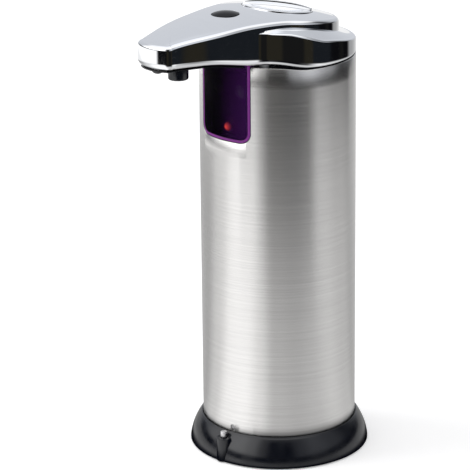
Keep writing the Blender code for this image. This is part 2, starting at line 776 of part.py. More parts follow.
def tact_switch():
    """The square switch under the button, and the plunger that sinks into it."""
    half = SWITCH_SIDE / 2
    foot = board_top() + FIT_GAP
    top = foot + SWITCH_HEIGHT
    place = (0, -BUTTON_REACH)
    switch = box(
        "tact_switch", (-half, -BUTTON_REACH - half, foot), (half, -BUTTON_REACH + half, top),
        "black_plastic",
    )
    bore_foot = top - BUTTON_TRAVEL - FIT_GAP * 2
    cut(switch, drill("plunger_bore", PLUNGER_RADIUS + FIT_GAP, bore_foot, top + CUT_OVERRUN, place))
    plunger_foot = top - FIT_GAP
    plunger = drill("switch_plunger", PLUNGER_RADIUS, 0, PLUNGER_HEIGHT)
    plunger.location = (*place, plunger_foot)
    plunger.data.materials[0] = material_named("grey_plastic")


def board_screw_length():
    return BOARD_THICKNESS + FIT_GAP + SMALL_SCREW_HEAD * 2


def board_screw_tip():
    return board_top() + FIT_GAP - board_screw_length()


def board_screw_places():
    x = BOARD_OFFSET + BOARD_HALF_WIDTH - BOARD_POST_INSET
    return {
        "front": (-x, -BOARD_FRONT_REACH + BOARD_POST_INSET),
        "rear": (-x, -BOARD_REAR_REACH - BOARD_POST_INSET),
    }


def small_screw(name, place, seat, length):
    """A pan head screw standing on its seat, with its shank below."""
    profile = [
        (0, seat - length), (SMALL_SCREW_RADIUS, seat - length), (SMALL_SCREW_RADIUS, seat),
        (SMALL_SCREW_HEAD_RADIUS, seat), (SMALL_SCREW_HEAD_RADIUS, seat + SMALL_SCREW_HEAD / 2),
        (SMALL_SCREW_RADIUS, seat + SMALL_SCREW_HEAD), (0, seat + SMALL_SCREW_HEAD),
    ]
    screw = turned(name, profile, "steel", TINY_SEGMENTS)
    screw.location = (*place, 0)


def control_board():
    top = board_top()
    foot = top - BOARD_THICKNESS
    low = (-BOARD_OFFSET - BOARD_HALF_WIDTH, -BOARD_FRONT_REACH, foot)
    high = (-BOARD_OFFSET + BOARD_HALF_WIDTH, -BOARD_REAR_REACH, top)
    board = box("control_board", low, high, "board_green")
    for end, place in board_screw_places().items():
        cut(board, drill(f"board_hole_{end}", SMALL_SCREW_RADIUS + FIT_GAP, foot - CUT_OVERRUN,
                         top + CUT_OVERRUN, place, TINY_SEGMENTS))
        small_screw(f"board_screw_{end}", place, top + FIT_GAP, board_screw_length())
    rear = -BOARD_REAR_REACH - CONNECTOR_WIDTH / 8
    box(
        "board_connector", (-CONNECTOR_LENGTH / 2, rear - CONNECTOR_WIDTH, top + FIT_GAP),
        (CONNECTOR_LENGTH / 2, rear, top + FIT_GAP + CONNECTOR_HEIGHT), "acetal_white",
    )


# Fill cap, seal and filler neck


def cap_crown(radius):
    return -radius * radius / (2 * CAP_CROWN_RADIUS)


def fill_cap():
    """A flush screw cap: a domed flange over a plug, with two finger scoops that leave a grip bar."""
    dome = [(CAP_RADIUS * share, cap_crown(CAP_RADIUS * share)) for share in (0, 0.4, 0.75, 1)]
    profile = dome + [
        (CAP_RADIUS, -CAP_FLANGE),
        (CAP_PLUG_RADIUS, -CAP_FLANGE),
        (CAP_PLUG_RADIUS, -CAP_PLUG_DEPTH),
        (0, -CAP_PLUG_DEPTH),
    ]
    cap = turned("fill_cap", profile, "chrome", MIDDLE_SEGMENTS, cap_axis())
    edge = cap_crown(CAP_SCOOP_RADIUS)
    scoop = [(0, -CAP_SCOOP_DEPTH)]
    for share in (0.4, 0.75, 1):
        scoop.append((CAP_SCOOP_RADIUS * share, edge - (CAP_SCOOP_DEPTH + edge) * (1 - share**2)))
    scoop += [(CAP_SCOOP_RADIUS, CUT_OVERRUN), (0, CUT_OVERRUN)]
    scoop_cutter = turned("cap_scoop_cutter", scoop, "steel", ROUND_SEGMENTS, cap_axis())
    bar = box(
        "cap_bar_keeper", (-CAP_RADIUS, -CAP_BAR_WIDTH / 2, -CAP_PLUG_DEPTH),
        (CAP_RADIUS, CAP_BAR_WIDTH / 2, CAP_PLUG_DEPTH), "steel", cap_axis(),
    )
    bar.rotation_euler = (0, 0, math.radians(CAP_BAR_TURN_DEG))
    cut(scoop_cutter, bar)
    cut(cap, scoop_cutter)


def cap_seal():
    """A flat ring under the cap's flange, lifted with it."""
    top = -CAP_FLANGE - FIT_GAP
    inner = CAP_PLUG_RADIUS + FIT_GAP
    outer = inner + SEAL_WIDTH
    foot = top - SEAL_THICKNESS
    rounding = SEAL_THICKNESS / 4
    profile = [
        (inner, foot + rounding), (inner + rounding, foot), (outer - rounding, foot),
        (outer, foot + rounding), (outer, top), (inner, top),
    ]
    turned("cap_seal", profile, "black_rubber", ROUND_SEGMENTS, cap_axis())


def tank_outline(radius, flat_reach):
    """A circle with a flat at the front, which leaves room for the sensor and the tube."""
    start = math.acos(flat_reach / radius)
    angles = np.linspace(start, math.tau - start, TANK_ARC_POINTS)
    return [tuple(polar(radius, angle)) for angle in angles]


def reservoir_lid():
    """The reservoir's lid in one piece with the slanted filler neck that reaches up to the cap."""
    outline = tank_outline(TANK_RADIUS, TANK_FLAT_REACH)
    lid = extruded("reservoir_lid", outline, LID_FOOT, LID_TOP, "grey_plastic")
    length = (crown_height(0, 0) - LID_TOP) / math.cos(crown_tilt(0))
    foot = -length - LID_THICKNESS / 2
    neck = drill("neck_outside", NECK_RADIUS, foot, -NECK_DROP, segments=ROUND_SEGMENTS, parent=cap_axis())
    bead_radius = TANK_BORE - FIT_GAP
    flat = TANK_FLAT_REACH - TANK_WALL - FIT_GAP
    bead = extruded("lid_bead", tank_outline(bead_radius, flat), LID_FOOT - LID_BEAD,
                    LID_FOOT + LID_THICKNESS / 2, "grey_plastic")
    bore = drill("neck_bore", NECK_RADIUS - NECK_WALL, foot - NECK_RADIUS, CUT_OVERRUN,
                 segments=ROUND_SEGMENTS, parent=cap_axis())
    joined(lid, neck, bead)
    cut(lid, bore)


# Tray, panel and lens that close the head from below


def plate_rings(loop, foot_rise, top_rise):
    """Rings of a plate that follows the head's underside."""
    rings = []
    for share in (1, 0):
        drawn = drawn_to_spine(loop, share)
        rings.append(raised(drawn, underside_heights(drawn, foot_rise)))
    for share in (0, 1):
        drawn = drawn_to_spine(loop, share)
        rings.append(raised(drawn, underside_heights(drawn, top_rise)))
    return rings


def head_tray():
    """The black tray inside the cover's bottom, with the spigot that centres the head in the sleeve."""
    lower, _ = head_loops()
    tray = lofted("head_tray", plate_rings(inset(lower, HEAD_WALL + FIT_GAP), 0, TRAY_THICKNESS),
                  "black_plastic")
    web_radius = SLEEVE_RADIUS - HEAD_WALL - FIT_GAP * 2
    spigot_bore = SPIGOT_RADIUS - SPIGOT_WALL - SPIGOT_WEB
    foot = JOINT_HEIGHT - SPIGOT_DEPTH
    profile = [
        (SPIGOT_RADIUS, JOINT_HEIGHT - FIT_GAP), (SPIGOT_RADIUS, foot), (SPIGOT_RADIUS - SPIGOT_WALL, foot),
        (spigot_bore, JOINT_HEIGHT - SPIGOT_WEB), (spigot_bore, JOINT_HEIGHT + SPIGOT_WEB),
        (web_radius, JOINT_HEIGHT + SPIGOT_WEB), (web_radius, JOINT_HEIGHT - FIT_GAP),
    ]
    spigot = turned("tray_spigot", profile, "black_plastic", MIDDLE_SEGMENTS)
    half_gap = WINDOW_HALF_WIDTH + FRAME_MARGIN + FIT_GAP
    window_gap = box(
        "spigot_window_gap", (-half_gap, -SLEEVE_RADIUS - CUT_OVERRUN, foot - CUT_OVERRUN),
        (half_gap, -UNDERSIDE_START_REACH, JOINT_HEIGHT + SPIGOT_WEB + FIT_GAP), "steel",
    )
    cut(spigot, window_gap)
    joined(tray, spigot)
    for end, place in board_screw_places().items():
        seat = underside_height(place[1]) + TRAY_THICKNESS / 2
        joined(tray, drill(f"board_post_{end}", BOARD_POST_RADIUS, seat,
                           board_top() - BOARD_THICKNESS - FIT_GAP, place))
        cut(tray, drill(f"board_post_bore_{end}", SMALL_SCREW_RADIUS + FIT_GAP,
                        board_screw_tip() - FIT_GAP, board_top(), place, TINY_SEGMENTS))
    neck_gap = drill("tray_neck_gap", NECK_RADIUS + FIT_GAP, -NECK_RADIUS * 2, 0, segments=ROUND_SEGMENTS,
                     parent=cap_axis())
    nozzle_hole = drill("tray_nozzle_hole", NOZZLE_NECK_RADIUS + FIT_GAP, JOINT_HEIGHT, CROWN_HEIGHT,
                        (0, -NOZZLE_REACH))
    slot_half = TUBE_RADIUS + FIT_GAP * 2
    tube_slot = box(
        "tray_tube_slot",
        (TUBE_RUN_OFFSET - slot_half * 2, -TUBE_RUN_REACH - slot_half * 2, JOINT_HEIGHT - SPIGOT_DEPTH),
        (TUBE_RUN_OFFSET + slot_half, -TUBE_RUN_REACH + slot_half, CROWN_HEIGHT), "steel",
    )
    lead_half = LEAD_RADIUS * 2
    power_slot = box(
        "tray_power_slot",
        (-POWER_LEAD_OFFSET - lead_half, -POWER_LEAD_REACH - lead_half, JOINT_HEIGHT - SPIGOT_DEPTH),
        (-POWER_LEAD_OFFSET + lead_half * 3, -POWER_LEAD_REACH + lead_half, CROWN_HEIGHT), "steel",
    )
    sensor_slot = box(
        "tray_sensor_slot", (-lead_half, -POWER_LEAD_REACH - lead_half * 2, JOINT_HEIGHT - SPIGOT_DEPTH),
        (lead_half, -POWER_LEAD_REACH + lead_half, CROWN_HEIGHT), "steel",
    )
    lens_hole = drill("tray_lens_hole", LENS_PEG_RADIUS + FIT_GAP, JOINT_HEIGHT, CROWN_HEIGHT,
                      (0, -LENS_REACH), TINY_SEGMENTS)
    cut(tray, neck_gap, nozzle_hole, tube_slot, power_slot, sensor_slot, lens_hole)


def underside_panel():
    """The thin black panel under the beak, seen as a dark edge below the chrome lip."""
    lower, _ = head_loops()
    loop = [point for point in inset(lower, PANEL_INSET) if point.y < -PANEL_ROOT_REACH]
    ordered = sorted(loop, key=lambda point: math.atan2(point.x, -point.y - PANEL_ROOT_REACH))
    foot_rise = -FIT_GAP - PANEL_THICKNESS
    bm = bmesh.new()
    tops = [bm.verts.new(p) for p in raised(ordered, underside_heights(ordered, -FIT_GAP))]
    feet = [bm.verts.new(p) for p in raised(ordered, underside_heights(ordered, foot_rise))]
    half = len(ordered) // 2
    for rows in (tops, feet):
        for i in range(half):
            bm.faces.new(dict.fromkeys((rows[i], rows[i + 1], rows[-2 - i], rows[-1 - i])))
    for i, top in enumerate(tops):
        j = (i + 1) % len(tops)
        bm.faces.new((top, tops[j], feet[j], feet[i]))
    panel = finished("underside_panel", bm, "black_gloss")
    cut(
        panel,
        drill("panel_nozzle_hole", NOZZLE_RADIUS + FIT_GAP, JOINT_HEIGHT, CROWN_HEIGHT,
              (0, -NOZZLE_REACH), NOZZLE_SEGMENTS),
        drill("panel_lens_hole", LENS_PEG_RADIUS + FIT_GAP, JOINT_HEIGHT, CROWN_HEIGHT, (0, -LENS_REACH),
              TINY_SEGMENTS),
    )


def beak_lens():
    """The small black dome under the beak's tip, held by a peg in the tray."""
    seat = lowest_underside(LENS_REACH, LENS_RADIUS) - FIT_GAP * 2 - PANEL_THICKNESS
    peg_top = underside_height(-LENS_REACH) + TRAY_THICKNESS
    turns = np.radians([0, 25, 50, 70])
    dome = [(LENS_RADIUS * math.cos(a), seat - LENS_DROP * math.sin(a)) for a in turns]
    peg = [(0, peg_top), (LENS_PEG_RADIUS, peg_top), (LENS_PEG_RADIUS, seat)]
    profile = peg + dome + [(0, seat - LENS_DROP)]
    lens = turned("beak_lens", profile, "black_gloss", SMALL_SEGMENTS)
    lens.location = (0, -LENS_REACH, 0)


# Nozzle, valve and outlet tube


def nozzle_nipple_top():
    return underside_height(-NOZZLE_REACH) + TRAY_THICKNESS + NIPPLE_LENGTH


def nozzle():
    shoulder = lowest_underside(NOZZLE_REACH, NOZZLE_RADIUS) - FIT_GAP
    neck_top = underside_height(-NOZZLE_REACH) + TRAY_THICKNESS + FIT_GAP
    mouth_top = NOZZLE_TIP_HEIGHT + NOZZLE_MOUTH_DEPTH
    tip = arc_points((NOZZLE_RADIUS - NOZZLE_ROUNDING, NOZZLE_TIP_HEIGHT + NOZZLE_ROUNDING),
                     NOZZLE_ROUNDING, -90, 0, 3)
    profile = tip + [
        (NOZZLE_RADIUS, shoulder), (NOZZLE_NECK_RADIUS, shoulder), (NOZZLE_NECK_RADIUS, neck_top),
        (NIPPLE_RADIUS, neck_top), (NIPPLE_RADIUS, nozzle_nipple_top()),
        (NOZZLE_BORE_RADIUS, nozzle_nipple_top()), (NOZZLE_BORE_RADIUS, mouth_top),
        (NOZZLE_MOUTH_RADIUS, mouth_top), (NOZZLE_MOUTH_RADIUS, NOZZLE_TIP_HEIGHT),
    ]
    made = turned("nozzle", profile, "black_plastic", NOZZLE_SEGMENTS)
    made.location = (0, -NOZZLE_REACH, 0)


def nozzle_valve():
    """The slit rubber disc in the nozzle's mouth."""
    top = NOZZLE_TIP_HEIGHT + NOZZLE_MOUTH_DEPTH - FIT_GAP
    radius = NOZZLE_MOUTH_RADIUS - FIT_GAP
    foot = top - VALVE_THICKNESS
    profile = [
        (0, foot), (radius / 2, foot), (radius, foot + VALVE_THICKNESS / 2), (radius, top), (0, top),
    ]
    valve = turned("nozzle_valve", profile, "black_rubber", SMALL_SEGMENTS)
    slit = box(
        "valve_slit", (-VALVE_SLIT_WIDTH / 2, -VALVE_SLIT_LENGTH / 2, foot - CUT_OVERRUN),
        (VALVE_SLIT_WIDTH / 2, VALVE_SLIT_LENGTH / 2, top + CUT_OVERRUN), "steel",
    )
    cut(valve, slit)
    valve.location = (0, -NOZZLE_REACH, 0)
    slit.location = (0, -NOZZLE_REACH, 0)


def smooth_route(places, steps):
    """Points along a smooth curve through the places."""
    ends = [places[0] * 2 - places[1]] + places + [places[-1] * 2 - places[-2]]
    points = []
    for before, start, end, after in zip(ends, ends[1:], ends[2:], ends[3:]):
        for i in range(steps):
            t = i / steps
            points.append(
                (
                    start * 2
                    + (end - before) * t
                    + (before * 2 - start * 5 + end * 4 - after) * t**2
                    + (start * 3 - before - end * 3 + after) * t**3
                ) / 2
            )
    return points + [places[-1]]


def tube_along(name, places, radius, material, steps=2, resolution=2):
    """A round tube or lead along a smooth route."""
    curve = bpy.data.curves.new(name, "CURVE")
    curve.dimensions = "3D"
    curve.bevel_depth = radius
    curve.bevel_resolution = resolution
    curve.use_fill_caps = True
    points = smooth_route(places, steps)
    spline = curve.splines.new("POLY")
    spline.points.add(len(points) - 1)
    for target, point in zip(spline.points, points):
        target.co = (*point, 1)
    made = bpy.data.objects.new(name, curve)
    curve.materials.append(material_named(material))
    bpy.context.scene.collection.objects.link(made)
    return made


def as_mesh(made):
    """The object with its curve turned into a mesh, which a Boolean can use."""
    graph = bpy.context.evaluated_depsgraph_get()
    mesh = bpy.data.meshes.new_from_object(made.evaluated_get(graph))
    name = made.name
    curve = made.data
    bpy.data.objects.remove(made)
    bpy.data.curves.remove(curve)
    bm = bmesh.new()
    bm.from_mesh(mesh)
    bmesh.ops.remove_doubles(bm, verts=bm.verts, dist=MERGE_DISTANCE)
    bmesh.ops.recalc_face_normals(bm, faces=bm.faces)
    bm.to_mesh(mesh)
    bm.free()
    mesh.shade_smooth()
    made = bpy.data.objects.new(name, mesh)
    bpy.context.scene.collection.objects.link(made)
    return made


def outlet_places():
    """The outlet tube's route: from the pump, up beside the sensor and forward to the nozzle."""
    port_height = (CHAMBER_FLOOR + CHAMBER_TOP) / 2
    start_y = -PUMP_RADIUS - OUTLET_BLOCK - FIT_GAP
    run_x = TUBE_RUN_OFFSET
    run_y = -TUBE_RUN_REACH
    board_z = board_top()
    end_z = underside_height(-NOZZLE_REACH) + TRAY_THICKNESS + FIT_GAP * 2
    bend = TUBE_RADIUS * 2
    rising = [
        Vector((PORT_X, start_y, port_height)),
        Vector((PORT_X, start_y - bend / 2, port_height)),
        Vector((PORT_X + bend * 3 / 8, start_y - bend * 9 / 8, port_height + bend / 8)),
        Vector((run_x - bend * 3 / 4, run_y + bend / 8, port_height + bend / 2)),
        Vector((run_x, run_y, port_height + bend * 3)),
        Vector((run_x, run_y, (port_height + JOINT_HEIGHT) / 2)),
        Vector((run_x, run_y, JOINT_HEIGHT - bend)),
        Vector((run_x - bend / 4, run_y - bend / 8, JOINT_HEIGHT + bend / 4)),
        Vector((run_x - bend, run_y - bend * 5 / 4, board_z - bend * 3 / 4)),
        Vector((run_x - bend * 3 / 2, run_y - bend * 4, board_z - bend / 4)),
        Vector((bend * 13 / 8, -NOZZLE_REACH + bend * 5 / 2, board_z + bend / 3)),
    ]
    over = []
    for turn in np.radians([90, 60, 30, 0]):
        back = TUBE_BEND_RADIUS * (1 - math.cos(turn))
        rise = TUBE_BEND_RADIUS * math.sin(turn)
        over.append(Vector((back / 2, back * math.sqrt(3 / 4) - NOZZLE_REACH, nozzle_nipple_top() + rise)))
    return rising + over + [Vector((0, -NOZZLE_REACH, end_z))]


def outlet_tube():
    places = outlet_places()
    tube = as_mesh(tube_along("outlet_tube", places, TUBE_RADIUS, "silicone"))
    tube.data.materials.append(material_named("silicone"))
    first = places[0] + (places[0] - places[1]).normalized() * CUT_OVERRUN
    last = places[-1] + (places[-1] - places[-2]).normalized() * CUT_OVERRUN
    bore = as_mesh(tube_along("outlet_bore", [first] + places + [last], TUBE_BORE_RADIUS, "silicone",
                              resolution=1))
    cut(tube, bore)


# Sensor window and what is behind it


def window_outline(margin, top):
    """The window's outline in front view: square at the top, with round lower corners."""
    half = WINDOW_HALF_WIDTH + margin
    foot = WINDOW_FOOT_HEIGHT - margin
    corner = WINDOW_CORNER + margin
    right = arc_points((half - corner, foot + corner), corner, -90, 0)
    left = arc_points((-half + corner, foot + corner), corner, 180, 270)
    return left + right + [(half, top), (-half, top)]


def window_prism(name, margin, top):
    """A prism with the window's outline, from the axis out through the sleeve's front."""
    tool = extruded(name, window_outline(margin, top), 0, SLEEVE_RADIUS + CUT_OVERRUN, "steel")
    return faced_forward(tool, 0)


def shell_ring(name, outer, inner, foot, top, material, segments=WIDE_SEGMENTS):
    profile = [(outer, top), (outer, foot), (inner, foot), (inner, top)]
    return turned(name, profile, material, segments)


def underside_cutter(name):
    """What is above the head's lower edge, so that a rim under it follows it with a gap."""
    reaches = np.linspace(SLEEVE_RADIUS + CUT_OVERRUN, UNDERSIDE_START_REACH, 9)
    lower = [(-reach, underside_height(-reach) - FIT_GAP) for reach in reaches]
    rear = SLEEVE_RADIUS + CUT_OVERRUN
    outline = lower + [(rear, JOINT_HEIGHT - FIT_GAP), (rear, CROWN_HEIGHT), (-rear, CROWN_HEIGHT)]
    width = (SLEEVE_RADIUS + CUT_OVERRUN) * 2
    tool = extruded(name, outline, -width / 2, width / 2, "steel")
    tool.rotation_euler = (math.radians(90), 0, math.radians(90))
    return tool


def sensor_window():
    outer = SLEEVE_RADIUS - WINDOW_SINK
    foot = WINDOW_FOOT_HEIGHT - CUT_OVERRUN
    pane = shell_ring("sensor_window", outer, outer - WINDOW_THICKNESS, foot, WINDOW_TOP_HEIGHT,
                      "window_tint")
    boolean(pane, window_prism("window_pane_tool", -FIT_GAP, WINDOW_TOP_HEIGHT + CUT_OVERRUN), "INTERSECT")
    cut(pane, underside_cutter("pane_top_cutter"))


def window_frame():
    """The black frame behind the sleeve's edge, with the rails that hold the sensor board."""
    outer = SLEEVE_BORE - FIT_GAP
    inner = outer - FRAME_THICKNESS
    top = JOINT_HEIGHT - FIT_GAP
    foot = WINDOW_FOOT_HEIGHT - FRAME_MARGIN
    frame = shell_ring("window_frame", outer, inner, foot, top, "black_plastic")
    boolean(frame, window_prism("frame_outside_tool", FRAME_MARGIN, top + CUT_OVERRUN), "INTERSECT")
    cut(frame, window_prism("frame_inside_tool", FIT_GAP, top + CUT_OVERRUN))
    front = -math.sqrt(PANE_BORE**2 - WINDOW_HALF_WIDTH**2) + FIT_GAP
    back = -SENSOR_BOARD_REACH + BOARD_THICKNESS * 2
    rail_inner = SENSOR_BOARD_HALF_WIDTH + FIT_GAP
    rail_outer = WINDOW_HALF_WIDTH + FRAME_MARGIN / 2
    for side in (-1, 1):
        low_x, high_x = sorted((side * rail_inner, side * rail_outer))
        rail = box(f"frame_rail_{side}", (low_x, front, foot + FRAME_MARGIN),
                   (high_x, back, top - FIT_GAP), "steel")
        joined(frame, rail)
    shelf = box("frame_shelf", (-rail_outer + FIT_GAP, front + FIT_GAP, foot + FRAME_MARGIN / 4),
                (rail_outer - FIT_GAP, back - FIT_GAP, SENSOR_BOARD_FOOT - FIT_GAP), "steel")
    joined(frame, shelf)


def sensor_board():
    """The upright board behind the window, which carries the light and the two infrared eyes."""
    half = SENSOR_BOARD_HALF_WIDTH
    box(
        "sensor_board", (-half, -SENSOR_BOARD_REACH, SENSOR_BOARD_FOOT),
        (half, -SENSOR_BOARD_REACH + BOARD_THICKNESS, SENSOR_BOARD_FOOT + SENSOR_BOARD_HEIGHT),
        "black_plastic",
    )
    front = SENSOR_BOARD_REACH + FIT_GAP
    lamp("indicator_light", LED_RADIUS, LED_LENGTH, LED_FLANGE_RADIUS, front, LED_HEIGHT, 0, "red_lamp")
    lamp("infrared_emitter", EYE_RADIUS, EYE_LENGTH, EYE_FLANGE_RADIUS, front, EYE_HEIGHT, EYE_OFFSET,
         "clear_lamp")
    lamp("infrared_receiver", EYE_RADIUS, EYE_LENGTH, EYE_FLANGE_RADIUS, front, EYE_HEIGHT, -EYE_OFFSET,
         "dark_lamp")


def lamp(name, radius, length, flange_radius, start, height, offset, material):
    """A round-nosed lamp on a flange, pointing to the front."""
    nose = length - radius
    dome = [(radius * math.cos(a), start + nose + radius * math.sin(a)) for a in np.radians([0, 45])]
    profile = [
        (0, start), (flange_radius, start), (flange_radius, start + LED_FLANGE),
        (radius, start + LED_FLANGE),
    ] + dome + [(0, start + length)]
    faced_forward(turned(name, profile, material, SMALL_SEGMENTS), height, offset)


def steel_sleeve():
    """The brushed steel tube, cut out at the front for the window and drilled for the locating pip."""
    foot = BASE_TOP_HEIGHT - GROOVE_DEPTH + FIT_GAP
    top = JOINT_HEIGHT + UNDERSIDE_RISE
    sleeve = shell_ring("steel_sleeve", SLEEVE_RADIUS, SLEEVE_BORE, foot, top, "brushed_steel")
    pip_hole = turned(
        "pip_hole_cutter",
        [(0, 0), (PIP_RADIUS + FIT_GAP, 0), (PIP_RADIUS + FIT_GAP, SLEEVE_RADIUS * 2),
         (0, SLEEVE_RADIUS * 2)],
        "steel", TINY_SEGMENTS,
    )
    pip_hole.rotation_euler = (math.radians(90), 0, math.radians(PIP_AZIMUTH_DEG))
    pip_hole.location = (0, 0, PIP_HEIGHT)
    cut(sleeve, underside_cutter("sleeve_top_cutter"),
        window_prism("window_hole_cutter", 0, top + CUT_OVERRUN), pip_hole)


def locating_pip():
    """The small peg that keys the sleeve to the base's spigot."""
    start = SLEEVE_BORE - FIT_GAP - PIP_LENGTH / 3
    end = SLEEVE_RADIUS + FIT_GAP / 2
    dome = [(PIP_RADIUS, end - FIT_GAP), (PIP_RADIUS * 3 / 4, end)]
    pip = turned("locating_pip", [(0, start), (PIP_RADIUS, start)] + dome + [(0, end)], "grey_plastic",
                 TINY_SEGMENTS)
    pip.rotation_euler = (math.radians(90), 0, math.radians(PIP_AZIMUTH_DEG))
    pip.location = (0, 0, PIP_HEIGHT)


# Reservoir


def reservoir():
    """The tank: a cup with a flat front, and a skirt below its floor that stands on the motor mount."""
    foot = MOUNT_TOP + FIT_GAP
    tank = extruded("reservoir", tank_outline(TANK_RADIUS, TANK_FLAT_REACH), foot, TANK_RIM_HEIGHT,
                    "milk_plastic")
    inner = tank_outline(TANK_BORE, TANK_FLAT_REACH - TANK_WALL)
    hollow = extruded("tank_hollow", inner, TANK_FLOOR_HEIGHT + TANK_FLOOR, TANK_RIM_HEIGHT + CUT_OVERRUN,
                      "steel")
    pump_room = extruded("pump_room", inner, foot - CUT_OVERRUN, TANK_FLOOR_HEIGHT, "steel")
    notch = box(
        "tube_notch", (PORT_X - NOTCH_HALF_WIDTH, -TANK_RADIUS, foot - CUT_OVERRUN),
        (PORT_X + NOTCH_HALF_WIDTH, -TANK_FLAT_REACH + TANK_WALL + CUT_OVERRUN, foot + NOTCH_HEIGHT),
        "steel",
    )
    drain = drill("tank_drain", STRAINER_PEG_RADIUS + FIT_GAP, TANK_FLOOR_HEIGHT - CUT_OVERRUN,
                  TANK_FLOOR_HEIGHT + TANK_FLOOR + CUT_OVERRUN, (PORT_X, PUMP_PORT_OFFSET))
    cut(tank, hollow, pump_room, notch, drain)


def inlet_strainer():
    """A slotted cup over the reservoir's drain, with a peg in the drain hole."""
    foot = TANK_FLOOR_HEIGHT + TANK_FLOOR + FIT_GAP
    wall = STRAINER_SLOT_WIDTH
    profile = [
        (STRAINER_RADIUS, foot), (STRAINER_RADIUS, foot + STRAINER_HEIGHT * 3 / 4),
        (STRAINER_RADIUS * 3 / 4, foot + STRAINER_HEIGHT), (0, foot + STRAINER_HEIGHT),
        (0, foot + wall), (STRAINER_PEG_RADIUS / 2, foot + wall),
        (STRAINER_PEG_RADIUS / 2, TANK_FLOOR_HEIGHT), (STRAINER_PEG_RADIUS, TANK_FLOOR_HEIGHT),
        (STRAINER_PEG_RADIUS, foot),
    ]
    strainer = turned("inlet_strainer", profile, "acetal_white", SMALL_SEGMENTS)
    place = Vector((PORT_X, PUMP_PORT_OFFSET, 0))
    strainer.location = place
    pitch = STRAINER_SLOT_WIDTH * 5 / 2
    for i in (-1, 0, 1):
        slot = box(
            f"strainer_slot_{i}",
            (i * pitch - STRAINER_SLOT_WIDTH / 2, -STRAINER_RADIUS - CUT_OVERRUN,
             foot + STRAINER_HEIGHT / 2),
            (i * pitch + STRAINER_SLOT_WIDTH / 2, STRAINER_RADIUS + CUT_OVERRUN,
             foot + STRAINER_HEIGHT + CUT_OVERRUN),
            "steel",
        )
        slot.location = place
        cut(strainer, slot)


# Gear pump


def involute_point(base_radius, radius):
    """Radius and polar angle of the involute where it reaches this radius."""
    pressure = math.acos(min(base_radius / radius, 1))
    return radius, math.tan(pressure) - pressure


def gear_outline():
    """An involute gear's outline, with one tooth centred on +X."""
    base_radius = GEAR_PITCH_RADIUS * math.cos(math.radians(GEAR_PRESSURE_DEG))
    root_radius = GEAR_PITCH_RADIUS - GEAR_MODULE - GEAR_ROOT_CLEARANCE
    _, pitch_angle = involute_point(base_radius, GEAR_PITCH_RADIUS)
    half_tooth = (math.pi * GEAR_MODULE / 2 - GEAR_BACKLASH) / (2 * GEAR_PITCH_RADIUS)
    flank = []
    for radius in np.linspace(base_radius, GEAR_TIP_RADIUS, FLANK_POINTS):
        _, angle = involute_point(base_radius, radius)
        flank.append((radius, half_tooth + pitch_angle - angle))
    tooth = [(root_radius, -flank[0][1])]
    tooth += [(radius, -angle) for radius, angle in flank]
    tooth += [(radius, angle) for radius, angle in reversed(flank)]
    tooth += [(root_radius, flank[0][1])]
    outline = []
    for i in range(GEAR_TEETH):
        turn = math.tau * i / GEAR_TEETH
        outline += [(r * math.cos(turn + a), r * math.sin(turn + a)) for r, a in tooth]
    return outline


def pump_gear(name, place, turn, bore_radius):
    foot = CHAMBER_FLOOR + FIT_GAP
    gear = extruded(name, gear_outline(), foot, foot + GEAR_THICKNESS, "acetal_white")
    bore = drill(f"{name}_bore", bore_radius, foot - CUT_OVERRUN, foot + GEAR_THICKNESS + CUT_OVERRUN,
                 place)
    gear.location = (*place, 0)
    gear.rotation_euler = (0, 0, turn)
    cut(gear, bore)


def pump_gears():
    """The driven pair: the idler is turned by half a tooth, so that the teeth mesh."""
    pump_gear("drive_gear", (0, 0), 0, GEAR_BORE_RADIUS)
    half_pitch = math.pi / GEAR_TEETH
    pump_gear("idler_gear", (GEAR_CENTRES, 0), math.pi + half_pitch, GEAR_BORE_RADIUS)
    pin_foot = CHAMBER_FLOOR - PUMP_FLOOR / 2
    pin_top = COVER_FOOT + PUMP_COVER / 2
    drill("idler_pin", SHAFT_RADIUS, pin_foot, pin_top, (GEAR_CENTRES, 0))
    shaft_top = COVER_FOOT + PUMP_COVER / 2
    shaft_foot = MOTOR_TOP - SHAFT_ENGAGEMENT
    drill("motor_shaft", SHAFT_RADIUS, shaft_foot, shaft_top)


def ear_reach():
    """Distance from a gear's axis to the centre of the screw ear beyond it."""
    return PUMP_RADIUS + PUMP_EAR_RADIUS / 2


def ear_places():
    return {"near": (-ear_reach(), 0), "far": (GEAR_CENTRES + ear_reach(), 0)}


def pump_outline():
    """The outline round both gears, with a screw ear at each end."""
    reach = ear_reach()
    cosine = (reach**2 + PUMP_RADIUS**2 - PUMP_EAR_RADIUS**2) / (2 * reach * PUMP_RADIUS)
    ear_half = math.degrees(math.acos(cosine))
    ear_turn = math.degrees(math.atan2(PUMP_RADIUS * math.sqrt(1 - cosine**2),
                                       PUMP_RADIUS * cosine - reach))
    far_axis = (GEAR_CENTRES, 0)
    half = arc_points(far_axis, PUMP_RADIUS, -90, -ear_half)
    half += arc_points((GEAR_CENTRES + reach, 0), PUMP_EAR_RADIUS, -ear_turn, ear_turn, 8)[1:-1]
    half += arc_points(far_axis, PUMP_RADIUS, ear_half, 90)
    return half + [(GEAR_CENTRES - x, -y) for x, y in half]


def chamber_outline():
    """Two overlapping circles, one round each gear."""
    crossing = 180 - math.degrees(math.acos(GEAR_CENTRES / 2 / CHAMBER_RADIUS))
    half = arc_points((GEAR_CENTRES, 0), CHAMBER_RADIUS, -crossing, crossing, 17)[:-1]
    return half + [(GEAR_CENTRES - x, -y) for x, y in half]


